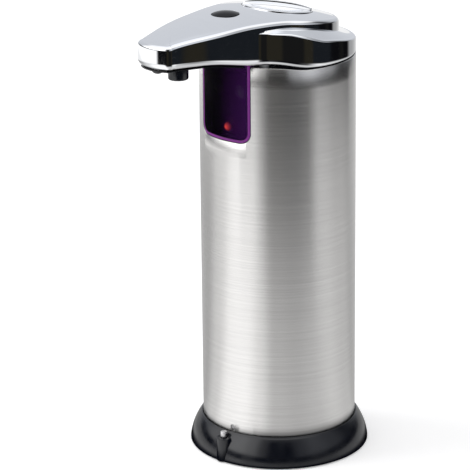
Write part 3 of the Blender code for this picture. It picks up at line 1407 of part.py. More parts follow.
def pump_housing():
    """The pump's body: two overlapping round chambers, ports at the mesh and a screw ear at each end."""
    housing = extruded("pump_housing", pump_outline(), PUMP_FOOT, CHAMBER_TOP, "grey_plastic")
    block_low = (PORT_X - PUMP_PORT_RADIUS * 3 / 2, -PUMP_RADIUS - OUTLET_BLOCK / 4, PUMP_FOOT + FIT_GAP)
    block_high = (PORT_X + PUMP_PORT_RADIUS * 3 / 2, -PUMP_RADIUS * 7 / 8, CHAMBER_TOP - FIT_GAP)
    joined(housing, box("outlet_block", block_low, block_high, "steel"))
    port_height = (CHAMBER_FLOOR + CHAMBER_TOP) / 2
    nipple = turned(
        "outlet_nipple",
        [(0, PUMP_RADIUS * 7 / 8), (NIPPLE_RADIUS, PUMP_RADIUS * 7 / 8),
         (NIPPLE_RADIUS, PUMP_RADIUS + OUTLET_BLOCK + NIPPLE_LENGTH),
         (0, PUMP_RADIUS + OUTLET_BLOCK + NIPPLE_LENGTH)],
        "steel", TINY_SEGMENTS,
    )
    joined(housing, faced_forward(nipple, port_height, PORT_X))
    cut(housing, extruded("gear_chamber", chamber_outline(), CHAMBER_FLOOR, CHAMBER_TOP + CUT_OVERRUN,
                          "steel"))
    for end, y in (("inlet", PUMP_PORT_OFFSET), ("outlet", -PUMP_PORT_OFFSET)):
        port_foot = CHAMBER_FLOOR + FIT_GAP
        cut(housing, drill(f"{end}_port", PUMP_PORT_RADIUS, port_foot, CHAMBER_TOP + CUT_OVERRUN * 2,
                           (PORT_X, y)))
    passage = turned(
        "outlet_passage",
        [(0, PUMP_PORT_OFFSET), (NOZZLE_BORE_RADIUS, PUMP_PORT_OFFSET),
         (NOZZLE_BORE_RADIUS, SLEEVE_RADIUS), (0, SLEEVE_RADIUS)], "steel", TINY_SEGMENTS,
    )
    cut(housing, faced_forward(passage, port_height, PORT_X))
    cut(housing, drill("shaft_hole", GEAR_BORE_RADIUS, PUMP_FOOT - CUT_OVERRUN,
                       CHAMBER_FLOOR + CUT_OVERRUN))
    cut(housing, drill("seal_seat", SHAFT_SEAL_RADIUS + FIT_GAP, PUMP_FOOT - CUT_OVERRUN,
                       PUMP_FOOT + SHAFT_SEAL_HEIGHT + FIT_GAP))
    cut(housing, drill("idler_pin_hole", GEAR_BORE_RADIUS, CHAMBER_FLOOR - PUMP_FLOOR / 2 - FIT_GAP,
                       CHAMBER_TOP, (GEAR_CENTRES, 0)))
    for end, place in ear_places().items():
        cut(housing, drill(f"housing_screw_hole_{end}", SMALL_SCREW_RADIUS + FIT_GAP,
                           PUMP_FOOT + PUMP_FLOOR, CHAMBER_TOP + CUT_OVERRUN, place, TINY_SEGMENTS))
    seal_profile = [
        (SHAFT_SEAL_RADIUS, PUMP_FOOT), (SHAFT_SEAL_RADIUS, PUMP_FOOT + SHAFT_SEAL_HEIGHT),
        (GEAR_BORE_RADIUS, PUMP_FOOT + SHAFT_SEAL_HEIGHT), (GEAR_BORE_RADIUS, PUMP_FOOT),
    ]
    turned("shaft_seal", seal_profile, "black_rubber", SMALL_SEGMENTS)


def pump_cover():
    cover = extruded("pump_cover", pump_outline(), COVER_FOOT, PUMP_TOP, "grey_plastic")
    inlet = (PORT_X, PUMP_PORT_OFFSET)
    joined(cover, drill("inlet_stub", INLET_STUB_RADIUS, COVER_FOOT + FIT_GAP,
                        TANK_FLOOR_HEIGHT - FIT_GAP, inlet))
    cut(cover, drill("inlet_bore", INLET_STUB_BORE_RADIUS, COVER_FOOT - CUT_OVERRUN, TANK_FLOOR_HEIGHT,
                     inlet))
    for name, x in (("shaft", 0), ("pin", GEAR_CENTRES)):
        cut(cover, drill(f"cover_{name}_hole", GEAR_BORE_RADIUS, COVER_FOOT - CUT_OVERRUN,
                         COVER_FOOT + PUMP_COVER / 2 + FIT_GAP, (x, 0)))
    for end, place in ear_places().items():
        cut(cover, drill(f"cover_screw_hole_{end}", SMALL_SCREW_RADIUS + FIT_GAP,
                         COVER_FOOT - CUT_OVERRUN, PUMP_TOP + CUT_OVERRUN, place, TINY_SEGMENTS))
        length = PUMP_TOP - CHAMBER_FLOOR - PUMP_FLOOR / 2
        small_screw(f"pump_screw_{end}", place, PUMP_TOP + FIT_GAP, length)


# Motor


def motor():
    rounding = MOTOR_BOSS / 2
    profile = [
        (0, MOTOR_FOOT), (MOTOR_RADIUS - rounding, MOTOR_FOOT), (MOTOR_RADIUS, MOTOR_FOOT + rounding),
        (MOTOR_RADIUS, MOTOR_TOP - rounding), (MOTOR_RADIUS - rounding, MOTOR_TOP),
        (MOTOR_BOSS_RADIUS, MOTOR_TOP), (MOTOR_BOSS_RADIUS, MOTOR_TOP + MOTOR_BOSS),
        (0, MOTOR_TOP + MOTOR_BOSS),
    ]
    can = turned("motor", profile, "steel", ROUND_SEGMENTS)
    cut(can, drill("motor_bore", SHAFT_RADIUS + FIT_GAP, MOTOR_TOP - SHAFT_ENGAGEMENT - FIT_GAP,
                   MOTOR_TOP + MOTOR_BOSS + CUT_OVERRUN))


def motor_mount():
    """The disc between the battery box and the pump, which holds the motor down."""
    mount = drill("motor_mount", BOX_SHOULDER_RADIUS, MOUNT_FOOT, MOUNT_TOP, segments=MIDDLE_SEGMENTS)
    cut(mount, drill("mount_boss_hole", MOTOR_BOSS_RADIUS + FIT_GAP, MOUNT_FOOT - CUT_OVERRUN,
                     MOUNT_TOP + CUT_OVERRUN))
    cut(mount, drill("mount_lead_hole", LEAD_RADIUS * 2, MOUNT_FOOT - CUT_OVERRUN, MOUNT_TOP + CUT_OVERRUN,
                     (-POWER_LEAD_OFFSET, -POWER_LEAD_REACH), TINY_SEGMENTS))


# Battery box and cells


def cell_places():
    step = CELL_STEP
    return {
        "front_left": (-step, -step), "front_right": (step, -step),
        "rear_left": (-step, step), "rear_right": (step, step),
    }


def battery_box():
    """The block over the base's spigot, with a bore for each cell and one for the motor."""
    shoulder = SPIGOT_TOP_HEIGHT + FIT_GAP
    profile = [
        (0, BOX_TOP_HEIGHT), (0, BOX_FOOT_HEIGHT), (BOX_RADIUS, BOX_FOOT_HEIGHT), (BOX_RADIUS, shoulder),
        (BOX_SHOULDER_RADIUS, shoulder), (BOX_SHOULDER_RADIUS, BOX_TOP_HEIGHT),
    ]
    block = turned("battery_box", profile, "black_plastic", MIDDLE_SEGMENTS)
    for name, place in cell_places().items():
        cut(block, drill(f"cell_bore_{name}", CELL_BORE_RADIUS, BOX_FOOT_HEIGHT - CUT_OVERRUN,
                         CONTACT_ROOM_TOP, place))
    half = CONTACT_WIDTH / 2 + FIT_GAP
    for side in (-1, 1):
        x = side * CELL_STEP
        cut(block, box(f"contact_channel_{side}", (x - half, -CELL_STEP, CELL_TOP - CELL_NUB),
                       (x + half, CELL_STEP, CONTACT_ROOM_TOP), "steel"))
    cut(block, drill("motor_seat", MOTOR_RADIUS + FIT_GAP, MOTOR_FOOT - FIT_GAP,
                     BOX_TOP_HEIGHT + CUT_OVERRUN, segments=ROUND_SEGMENTS))


def battery_cells():
    """Four cells in series, so each second one stands on its head."""
    for i, (name, place) in enumerate(cell_places().items()):
        profile = [
            (0, 0), (CELL_RADIUS, 0), (CELL_RADIUS, CELL_LENGTH - CELL_ROUNDING),
            (CELL_RADIUS - CELL_ROUNDING, CELL_LENGTH), (CELL_NUB_RADIUS, CELL_LENGTH),
            (CELL_NUB_RADIUS, CELL_LENGTH + CELL_NUB), (0, CELL_LENGTH + CELL_NUB),
        ]
        cell = turned(f"cell_{name}", profile, "cell_jacket")
        upright = i in (0, 3)
        cell.rotation_euler = (0 if upright else math.pi, 0, 0)
        cell.location = (*place, BOX_FOOT_HEIGHT if upright else CELL_TOP)


def contacts():
    """Two strips above the cells, in the box, and two below, on the cover."""
    half = CONTACT_WIDTH / 2
    reach = CELL_STEP + CONTACT_OVERHANG
    top_foot = CELL_TOP + FIT_GAP
    for side, name in ((-1, "left"), (1, "right")):
        x = side * CELL_STEP
        box(f"upper_contact_{name}", (x - half, -reach, top_foot),
            (x + half, reach, top_foot + CONTACT_THICKNESS), "brass")
        block = bpy.data.objects["battery_box"]
        low = (x - half - FIT_GAP, -reach - FIT_GAP, CELL_TOP - CELL_NUB)
        high = (x + half + FIT_GAP, reach + FIT_GAP, CONTACT_ROOM_TOP)
        cut(block, box(f"contact_end_room_{name}", low, high, "steel"))
    foot = COVER_TOP_HEIGHT + FIT_GAP
    for side, name in ((-1, "front"), (1, "rear")):
        y = side * CELL_STEP
        box(f"lower_contact_{name}", (-reach, y - half, foot),
            (reach, y + half, foot + CONTACT_THICKNESS), "brass")


# Base


def skirt_points():
    """The flared skirt's outer face, from the foot up, bulging a little from the straight line."""
    foot = Vector((BASE_RADIUS, FOOT_CLEARANCE))
    top = Vector((SLEEVE_RADIUS + FIT_GAP + BASE_TOP_LIP, BASE_TOP_HEIGHT))
    along = top - foot
    outward = Vector((along.y, -along.x)).normalized()
    points = []
    for share in np.linspace(0, 1, ARC_STEPS + 1):
        points.append(tuple(foot + along * share + outward * (BASE_BULGE * 4 * share * (1 - share))))
    return points


def boss_outline(radius, inner_reach):
    """A slot-shaped outline: round at its outer end, running in under the skirt."""
    outer = arc_points((0, -BOSS_REACH), radius, -180, 0, 8)
    outline = outer + [(radius, -inner_reach), (-radius, -inner_reach)]
    turn = math.radians(BOSS_AZIMUTH_DEG)
    return [
        (x * math.cos(turn) - y * math.sin(turn), x * math.sin(turn) + y * math.cos(turn))
        for x, y in outline
    ]


def base_ring():
    """The black flared ring: a groove for the sleeve, a spigot inside it, and the screw boss."""
    groove_outer = SLEEVE_RADIUS + FIT_GAP
    groove_inner = SLEEVE_BORE - FIT_GAP
    groove_foot = BASE_TOP_HEIGHT - GROOVE_DEPTH
    ledge = COVER_TOP_HEIGHT + FIT_GAP
    profile = skirt_points() + [
        (groove_outer, BASE_TOP_HEIGHT), (groove_outer, groove_foot), (groove_inner, groove_foot),
        (groove_inner, SPIGOT_TOP_HEIGHT), (BASE_BORE, SPIGOT_TOP_HEIGHT), (BASE_BORE, FOOT_CLEARANCE),
    ]
    ring = turned("base_ring", profile, "black_plastic", WIDE_SEGMENTS)
    joined(ring, extruded("screw_boss", boss_outline(BOSS_RADIUS, SLEEVE_RADIUS + BASE_TOP_LIP * 3),
                          FOOT_CLEARANCE, BOSS_HEIGHT, "steel"))
    opening = drill("cover_opening", COVER_RADIUS + FIT_GAP, -CUT_OVERRUN, ledge, segments=WIDE_SEGMENTS)
    hinge_keeper = box(
        "hinge_keeper", (-SLEEVE_RADIUS, COVER_FLAT_REACH + COVER_SWING_GAP, -CUT_OVERRUN * 2),
        (SLEEVE_RADIUS, BASE_RADIUS, ledge + CUT_OVERRUN), "steel",
    )
    cut(opening, hinge_keeper)
    barrel_room = HINGE_BARREL_RADIUS + FIT_GAP
    hinge_height = FOOT_CLEARANCE + HINGE_BARREL_RADIUS
    hinge_pocket = box(
        "hinge_pocket", (-HINGE_BARREL_HALF_LENGTH - FIT_GAP, COVER_FLAT_REACH - CUT_OVERRUN, -CUT_OVERRUN),
        (HINGE_BARREL_HALF_LENGTH + FIT_GAP, HINGE_REACH + barrel_room, hinge_height + barrel_room),
        "steel",
    )
    pin_hole = along_x("hinge_pin_hole", HINGE_PIN_RADIUS + FIT_GAP, HINGE_PIN_HALF_LENGTH + FIT_GAP,
                       TINY_SEGMENTS)
    lug_room = extruded("lug_room", boss_outline(LUG_RADIUS + FIT_GAP, COVER_RADIUS - CUT_OVERRUN),
                        -CUT_OVERRUN, ledge, "steel")
    screw_hole = drill("boss_screw_hole", LOCK_SCREW_RADIUS + FIT_GAP, FOOT_CLEARANCE,
                       BOSS_HEIGHT + CUT_OVERRUN, at_azimuth(BOSS_REACH, BOSS_AZIMUTH_DEG))
    pip_start = BASE_BORE + BASE_SPIGOT_WALL / 3
    pip_profile = [
        (0, pip_start), (PIP_RADIUS + FIT_GAP, pip_start),
        (PIP_RADIUS + FIT_GAP, SLEEVE_BORE), (0, SLEEVE_BORE),
    ]
    pip_hole = turned("base_pip_hole", pip_profile, "steel", TINY_SEGMENTS)
    pip_hole.rotation_euler = (math.radians(90), 0, math.radians(PIP_AZIMUTH_DEG))
    pip_hole.location = (0, 0, PIP_HEIGHT)
    cut(ring, opening, hinge_pocket, pin_hole, lug_room, screw_hole, pip_hole)


def along_x(name, radius, half_length, segments):
    """A cylinder on the cover's hinge line."""
    profile = [(0, -half_length), (radius, -half_length), (radius, half_length), (0, half_length)]
    made = turned(name, profile, "steel", segments)
    made.rotation_euler = (0, math.radians(90), 0)
    made.location = (0, HINGE_REACH, FOOT_CLEARANCE + HINGE_BARREL_RADIUS)
    return made


def hinge_pin():
    along_x("hinge_pin", HINGE_PIN_RADIUS, HINGE_PIN_HALF_LENGTH, TINY_SEGMENTS)


def battery_cover():
    """The cover under the cells: a disc with a hinge barrel at the rear and a screw lug at the front."""
    cover = drill("battery_cover", COVER_RADIUS, FOOT_CLEARANCE, COVER_TOP_HEIGHT, segments=WIDE_SEGMENTS)
    cut(cover, box("cover_flat", (-COVER_RADIUS, COVER_FLAT_REACH, -CUT_OVERRUN),
                   (COVER_RADIUS, BASE_RADIUS, COVER_TOP_HEIGHT + CUT_OVERRUN), "steel"))
    tongue = box(
        "cover_tongue", (-HINGE_BARREL_HALF_LENGTH, COVER_FLAT_REACH - CUT_OVERRUN, FOOT_CLEARANCE),
        (HINGE_BARREL_HALF_LENGTH, HINGE_REACH, COVER_TOP_HEIGHT), "steel",
    )
    lug = extruded("cover_lug", boss_outline(LUG_RADIUS, COVER_RADIUS - CUT_OVERRUN), FOOT_CLEARANCE,
                   COVER_TOP_HEIGHT, "steel")
    barrel = along_x("cover_barrel", HINGE_BARREL_RADIUS, HINGE_BARREL_HALF_LENGTH, SMALL_SEGMENTS)
    joined(cover, tongue, barrel, lug)
    pin_bore = along_x("cover_pin_bore", HINGE_PIN_RADIUS + FIT_GAP,
                       HINGE_BARREL_HALF_LENGTH + CUT_OVERRUN, TINY_SEGMENTS)
    pad_seat = drill("pad_seat", PAD_RADIUS + FIT_GAP, -CUT_OVERRUN, PAD_THICKNESS + FIT_GAP,
                     segments=WIDE_SEGMENTS)
    seat_keeper = box("pad_seat_keeper", (-COVER_RADIUS, COVER_FLAT_REACH - FIT_GAP * 3, -CUT_OVERRUN * 2),
                      (COVER_RADIUS, BASE_RADIUS, COVER_TOP_HEIGHT), "steel")
    cut(pad_seat, seat_keeper)
    screw_hole = drill("lug_screw_hole", LOCK_SCREW_RADIUS + FIT_GAP, FOOT_CLEARANCE + COVER_THICKNESS / 4,
                       COVER_TOP_HEIGHT + CUT_OVERRUN, at_azimuth(BOSS_REACH, BOSS_AZIMUTH_DEG))
    cut(cover, pin_bore, pad_seat, screw_hole)


def grip_pad():
    """The rubber disc that the dispenser stands on, set into the cover."""
    pad = drill("grip_pad", PAD_RADIUS, 0, PAD_THICKNESS, segments=WIDE_SEGMENTS)
    cut(pad, box("pad_flat", (-COVER_RADIUS, COVER_FLAT_REACH - FIT_GAP * 4, -CUT_OVERRUN),
                 (COVER_RADIUS, BASE_RADIUS, PAD_THICKNESS + CUT_OVERRUN), "steel"))


def lock_screw():
    """The slotted steel screw on the boss, which holds the battery cover's lug."""
    seat = BOSS_HEIGHT + FIT_GAP
    foot = FOOT_CLEARANCE + COVER_THICKNESS / 4 + FIT_GAP
    rounding = LOCK_SCREW_HEAD_RADIUS / 4
    top = seat + LOCK_SCREW_HEAD
    profile = [
        (0, foot), (LOCK_SCREW_RADIUS, foot), (LOCK_SCREW_RADIUS, seat), (LOCK_SCREW_HEAD_RADIUS, seat),
        (LOCK_SCREW_HEAD_RADIUS, top - rounding), (LOCK_SCREW_HEAD_RADIUS - rounding, top), (0, top),
    ]
    screw = turned("lock_screw", profile, "steel", SMALL_SEGMENTS)
    place = (*at_azimuth(BOSS_REACH, BOSS_AZIMUTH_DEG), 0)
    slot = box(
        "screw_slot", (-LOCK_SCREW_HEAD_RADIUS * 2, -LOCK_SCREW_SLOT / 2, top - LOCK_SCREW_HEAD / 4),
        (LOCK_SCREW_HEAD_RADIUS * 2, LOCK_SCREW_SLOT / 2, top + CUT_OVERRUN), "steel",
    )
    for made in (screw, slot):
        made.location = place
    cut(screw, slot)


# Leads


def leads():
    """The lead from the battery box up to the control board, and the one from the sensor board."""
    board_foot = board_top() - BOARD_THICKNESS - FIT_GAP
    x = -POWER_LEAD_OFFSET
    y = -POWER_LEAD_REACH
    bend = LEAD_RADIUS * 4
    power = [
        Vector((x, y, MOUNT_FOOT)),
        Vector((x, y, (MOUNT_TOP + JOINT_HEIGHT) / 2)),
        Vector((x, y, JOINT_HEIGHT - bend)),
        Vector((x + bend, y, JOINT_HEIGHT + bend * 3 / 2)),
        Vector((x + bend * 9 / 4, y - bend, board_foot - bend)),
        Vector((x + bend * 5 / 2, y - bend * 3 / 2, board_foot - bend / 2)),
        Vector((x + bend * 5 / 2, y - bend * 3 / 2, board_foot)),
    ]
    tube_along("power_lead", power, LEAD_RADIUS, "red_wire", resolution=1)
    start = SENSOR_BOARD_FOOT + SENSOR_BOARD_HEIGHT + FIT_GAP * 2
    board_y = -SENSOR_BOARD_REACH + BOARD_THICKNESS / 2
    sensor = [
        Vector((0, board_y, start)),
        Vector((0, board_y, start + bend / 2)),
        Vector((0, y, JOINT_HEIGHT + bend / 2)),
        Vector((0, y, board_foot - bend / 2)),
        Vector((0, y, board_foot)),
    ]
    tube_along("sensor_lead", sensor, LEAD_RADIUS, "grey_wire", resolution=1)


def main():
    for old in list(bpy.data.objects):
        bpy.data.objects.remove(old)
    head_cover()
    power_button()
    tact_switch()
    control_board()
    fill_cap()
    cap_seal()
    reservoir_lid()
    head_tray()
    underside_panel()
    beak_lens()
    nozzle()
    nozzle_valve()
    outlet_tube()
    sensor_window()
    window_frame()
    sensor_board()
    steel_sleeve()
    locating_pip()
    reservoir()
    inlet_strainer()
    pump_gears()
    pump_housing()
    pump_cover()
    motor()
    motor_mount()
    battery_box()
    battery_cells()
    contacts()
    base_ring()
    hinge_pin()
    battery_cover()
    grip_pad()
    lock_screw()
    leads()


main()
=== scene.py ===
import json
import math

import bmesh
import bpy
import numpy as np
from bpy.props import FloatProperty, FloatVectorProperty, PointerProperty
from mathutils import Matrix, Vector

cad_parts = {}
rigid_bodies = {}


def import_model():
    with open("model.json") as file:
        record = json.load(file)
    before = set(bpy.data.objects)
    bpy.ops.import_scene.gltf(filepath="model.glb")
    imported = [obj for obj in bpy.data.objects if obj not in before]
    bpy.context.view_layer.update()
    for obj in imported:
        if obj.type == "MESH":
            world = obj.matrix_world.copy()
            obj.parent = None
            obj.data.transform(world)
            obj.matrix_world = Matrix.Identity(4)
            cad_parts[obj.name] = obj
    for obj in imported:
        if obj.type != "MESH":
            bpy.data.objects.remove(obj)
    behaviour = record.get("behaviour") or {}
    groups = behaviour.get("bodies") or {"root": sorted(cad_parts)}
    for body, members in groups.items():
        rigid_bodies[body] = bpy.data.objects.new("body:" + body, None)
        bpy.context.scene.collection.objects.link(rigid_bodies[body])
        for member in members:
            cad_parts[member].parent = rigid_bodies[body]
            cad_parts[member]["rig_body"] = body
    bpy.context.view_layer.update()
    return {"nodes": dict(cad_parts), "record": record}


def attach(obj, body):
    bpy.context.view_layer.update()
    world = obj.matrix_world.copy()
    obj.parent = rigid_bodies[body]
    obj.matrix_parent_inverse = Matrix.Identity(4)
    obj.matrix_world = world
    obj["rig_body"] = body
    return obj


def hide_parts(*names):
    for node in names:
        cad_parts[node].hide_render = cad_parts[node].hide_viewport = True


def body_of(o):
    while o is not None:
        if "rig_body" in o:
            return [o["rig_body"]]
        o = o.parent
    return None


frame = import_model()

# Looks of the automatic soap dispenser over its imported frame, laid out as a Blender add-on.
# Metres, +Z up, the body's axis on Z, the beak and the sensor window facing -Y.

bl_info = {
    "name": "Automatic soap dispenser",
    "version": (1, 0, 0),
    "blender": (4, 5, 0),
    "location": "3D View > Sidebar > Dispenser",
    "description": "Builds the visible pieces of an automatic soap dispenser and its studio",
    "category": "Add Mesh",
}


# From the record and the frame: each node's material slot and body
SLOTS = {part["node"]: part["material_slot"] for part in frame["record"]["subparts"]}
BODIES = {name: body_of(node)[0] for name, node in frame["nodes"].items()}

SAME_POINT = 0.000001    # metres, below which two points are one
SHARP_DEG = 38           # shading is smooth up to this turn between faces
CAP_FLANGE = 0.0026      # thickness of the fill cap's flange
DOME_RADIUS = 5.5        # of the dome that reflections see


# Properties


def length(name, default, description):
    """A length in metres."""
    return FloatProperty(name=name, description=description, default=default, unit="LENGTH",
                         subtype="DISTANCE", precision=5)


def angle(name, default_deg, description):
    """An angle, given in degrees."""
    return FloatProperty(name=name, description=description, default=math.radians(default_deg),
                         unit="ROTATION", subtype="ANGLE")


def number(name, default, description):
    """A plain number."""
    return FloatProperty(name=name, description=description, default=default, precision=4)


def colour(name, default, description):
    """A linear colour."""
    return FloatVectorProperty(name=name, description=description, default=default, subtype="COLOR",
                               size=3, min=0, max=1)


class SOAP_PG_head(bpy.types.PropertyGroup):
    """Sizes of the two-tier head and its beak."""

    beak_reach: length("Beak reach", 0.0735, "From the body's axis to the beak's front face")
    tip_half_width: length("Tip half width", 0.0099, "Half the width of the beak's front face")
    tip_corner: length("Tip corner", 0.0037, "Radius of the beak's two upright front edges")
    tip_face: length("Tip face", 0.016, "Radius of the beak's curved front face")
    root_half_width: length("Root half width", 0.0190, "Half the beak's width where it meets the collar")
    root_reach: length("Root reach", 0.0269, "From the axis to the beak's root")
    tier_radius: length("Upper tier radius", 0.0256, "Radius of the upper tier behind the beak")
    root_fillet: length("Root fillet", 0.003, "Reach of the fillet between beak and collar")
    blend: length("Blend", 0.0010, "Softness of the change from the beak's side to the upper tier's circle")
    crown_reach: length("Crown reach", 0.027, "From the axis to the head's highest place")
    crown_rise: length("Crown rise", 0.0213, "From the joint under the head to the highest place")
    front_arc: length("Front arc", 0.204, "Radius of the crown toward the beak")
    rear_arc: length("Rear arc", 0.162, "Radius of the crown toward the rear")
    beak_arc: length("Beak side arc", 0.050, "Radius of the crown across the beak's tip")
    tier_arc: length("Tier side arc", 0.172, "Radius of the crown across the rear of the upper tier")
    arc_front: length("Arc front", 0.070, "Reach in front of the axis where the beak's side arc holds")
    arc_rear: length("Arc rear", 0.005, "Reach behind the axis where the tier's side arc holds")
    collar_rise: length("Collar rise", 0.0021, "How far the collar's lower edge rises to the beak's root")
    collar_start: length("Collar rise start", 0.012, "From the axis to where that rise starts")
    collar_end: length("Collar rise end", 0.025, "From the axis to where that rise ends")
    beak_rise: length("Beak rise", 0.0036, "How far the lower edge rises again along the beak")
    beak_start: length("Beak rise start", 0.026, "From the axis to where that rise starts")
    beak_end: length("Beak rise end", 0.056, "From the axis to where that rise ends")
    beak_slope: number("Beak slope", 0.011, "Slope of the lower edge besides the two rises")
    side_bulge: length("Side bulge", 0.0010, "How far the beak's sides bulge from straight lines")
    rim_front: length("Rim at the front", 0.0158, "Height of the collar's rim beside the beak")
    rim_rear: length("Rim at the rear", 0.0056, "Height of the collar's rim at the rear")
    rim_steep: length("Rim steep start", 0.0235, "Reach in front of the axis where the rim starts to fall")
    rim_easy: length("Rim steep end", 0.003, "Reach in front of the axis where the steep part ends")
    ledge_front: length("Ledge at the front", 0.0166, "Height of the ledge's inner edge beside the beak")
    ledge_rear: length("Ledge at the rear", 0.0063, "Height of the ledge's inner edge at the rear")
    ledge_start: length("Ledge start", 0.020, "Reach in front of the axis where the ledge starts to fall")
    ledge_end: length("Ledge end", 0.036, "Reach behind the axis where the ledge ends")
    top_fillet: length("Top fillet", 0.0020, "Rounding of the upper edge")
    rim_fillet: length("Rim fillet", 0.0009, "Rounding of the collar's rim")
    lip: length("Bottom lip", 0.0012, "Rounding of the collar's lower edge at the rear")
    beak_lip: length("Beak lip", 0.0020, "Rounding of the lower edge in front and along the beak")
    tip_lip: length("Tip lip", 0.0025, "Rounding of the tip's lower edge")
    step: length("Beak step", 0.002, "Least wall left between rim and upper edge")
    wall: length("Wall", 0.002, "Thickness of the cover")
    spine_front: length("Spine front", 0.060, "Where the crown's middle line starts")
    spine_rear: length("Spine rear", 0.006, "Where the crown's middle line ends")
    button_reach: length("Button reach", 0.030, "From the axis to the power button")
    button_radius: length("Button radius", 0.0056, "Radius of the power button")
    button_dome: length("Button dome", 0.0010, "How far the button stands above the crown")
    cap_radius: length("Cap radius", 0.0148, "Radius of the fill cap's flange")
    cap_crown: length("Cap crown", 0.19, "Radius of the cap's dome")
    cap_proud: length("Cap proud", 0.0003, "How far the cap stands above the crown")
    cap_plug: length("Cap plug", 0.011, "Radius of the cap's plug")
    cap_depth: length("Cap depth", 0.0098, "Depth of the plug")
    scoop_radius: length("Scoop radius", 0.0125, "Outer radius of the two finger scoops")
    scoop_depth: length("Scoop depth", 0.0012, "Depth of the scoops in the middle")
    bar_width: length("Bar width", 0.0052, "Width of the grip bar between the scoops")
    bar_rise: length("Bar rise", 0.0023, "How far the grip bar stands above the cap")
    bar_turn: angle("Bar turn", 46, "How far the grip bar is turned from the X axis")
    nozzle_reach: length("Nozzle reach", 0.0568, "From the axis to the nozzle")
    nozzle_radius: length("Nozzle radius", 0.0042, "Outer radius of the nozzle")
    nozzle_tip: length("Nozzle tip", 0.1731, "Height of the nozzle's mouth")
    lens_reach: length("Lens reach", 0.068, "From the axis to the small dome under the tip")
    lens_radius: length("Lens radius", 0.0025, "Radius of that dome")


class SOAP_PG_body(bpy.types.PropertyGroup):
    """Sizes of the sleeve, the window and the base."""

    radius: length("Sleeve radius", 0.033, "Outer radius of the steel sleeve")
    sleeve_wall: length("Sleeve wall", 0.0006, "Thickness of the steel sleeve")
    top_share: number("Sleeve top share", 0.6, "Share of the head's rise that the sleeve's top follows")
    joint: length("Joint height", 0.1742, "Height of the joint under the head")
    gap: length("Gap", 0.0003, "Clearance between neighbouring pieces")
    window_half: length("Window half width", 0.0142, "Half the window's width")
    window_foot: length("Window foot", 0.1422, "Height of the window's lower edge")
    window_corner: length("Window corner", 0.0048, "Radius of the window's lower corners")
    pane: length("Pane", 0.0016, "Thickness of the window pane")
    pane_sink: length("Pane sink", 0.0001, "How far the pane lies under the sleeve's surface")
    rim_width: length("Rim width", 0.0011, "Width of the pane's polished edge")
    board_reach: length("Board reach", 0.0272, "From the axis to the sensor board's face")
    board_foot: length("Board foot", 0.1438, "Height of the sensor board's lower edge")
    board_height: length("Board height", 0.0275, "Height of the sensor board")
    board_half: length("Board half width", 0.0115, "Half the sensor board's width")
    lamp_nose: length("Lamp nose", 0.0305, "From the axis to the indicator light's nose")
    lamp_height: length("Lamp height", 0.1473, "Height of the indicator light")
    eye_height: length("Eye height", 0.163, "Height of the two infrared eyes")
    eye_offset: length("Eye offset", 0.0062, "From the middle to each eye")
    base_radius: length("Base radius", 0.0387, "Radius of the base at its foot")
    base_top: length("Base top", 0.013, "Height of the base ring's upper lip")
    base_lip: length("Base lip", 0.0005, "Width of that lip")
    bulge: length("Base bulge", 0.0009, "How far the flare bulges from a straight cone")
    groove: length("Groove", 0.0028, "Depth of the groove that takes the sleeve")
    spigot_top: length("Spigot top", 0.018, "Height of the base's spigot")
    spigot_wall: length("Spigot wall", 0.0015, "Thickness of the spigot")
    foot: length("Foot clearance", 0.0005, "From the floor to the base ring")
    boss_turn: angle("Boss turn", 4.3, "Turn of the screw boss from the front toward +X")
    boss_radius: length("Boss radius", 0.0031, "Radius of the screw boss")
    boss_reach: length("Boss reach", 0.0364, "From the axis to the screw")
    boss_height: length("Boss height", 0.0109, "Height of the boss's top")
    screw_radius: length("Screw radius", 0.0014, "Radius of the lock screw's head")
    screw_head: length("Screw head", 0.0024, "Height of the lock screw's head")
    pip_turn: angle("Pip turn", 7.9, "Turn of the locating pip from the front toward +X")
    pip_height: length("Pip height", 0.015, "Height of the locating pip")
    pip_radius: length("Pip radius", 0.001, "Radius of the locating pip")
    cover_radius: length("Cover radius", 0.0346, "Radius of the battery cover")
    cover_flat: length("Cover flat", 0.0303, "From the axis to the cover's rear flat")
    cover_thickness: length("Cover thickness", 0.0025, "Thickness of the battery cover")
    pad_radius: length("Pad radius", 0.031, "Radius of the grip pad")
    pad_thickness: length("Pad thickness", 0.0012, "Thickness of the grip pad")
    hinge_reach: length("Hinge reach", 0.0325, "From the axis to the hinge line")


class SOAP_PG_looks(bpy.types.PropertyGroup):
    """Colours and roughness of the main finishes."""

    chrome: colour("Chrome", (0.86, 0.87, 0.89), "Plating of the head")
    chrome_rough: number("Chrome roughness", 0.035, "Roughness of the plating")
    steel: colour("Sleeve steel", (0.76, 0.75, 0.74), "Brushed steel of the sleeve")
    steel_rough: number("Steel roughness", 0.23, "Roughness of the brushed steel")
    plastic: colour("Black plastic", (0.003, 0.004, 0.008), "Satin black plastic of the base")
    plastic_rough: number("Plastic roughness", 0.18, "Roughness of the black plastic")
    # Painted shade and painted light across the window, not two tints: the pane is drawn near black on its
    # left and violet on its right, where light passes through it.
    pane_shaded_side: colour("Pane, dark side", (0.0012, 0.0006, 0.0025), "Window tint at its left")
    pane_lit_side: colour("Pane, violet side", (0.045, 0.008, 0.080), "Window tint at its right")
    # The rim's bright violet is the acrylic's own tint with painted light on it: the light that the pane
    # carries out at its edge.
    rim: colour("Window rim", (0.21, 0.024, 0.25), "Polished edge of the window")
    lamp: colour("Indicator", (1.0, 0.075, 0.058), "Red light")
    card_dark: colour("Dark card", (0.004, 0.004, 0.005), "Darkest of the studio's surroundings")


# Surfaces


def smoothstep(value, start, end):
    """0 at start, 1 at end, with level ends."""
    t = np.clip((value - start) / (end - start), 0, 1)
    return t * t * (3 - 2 * t)


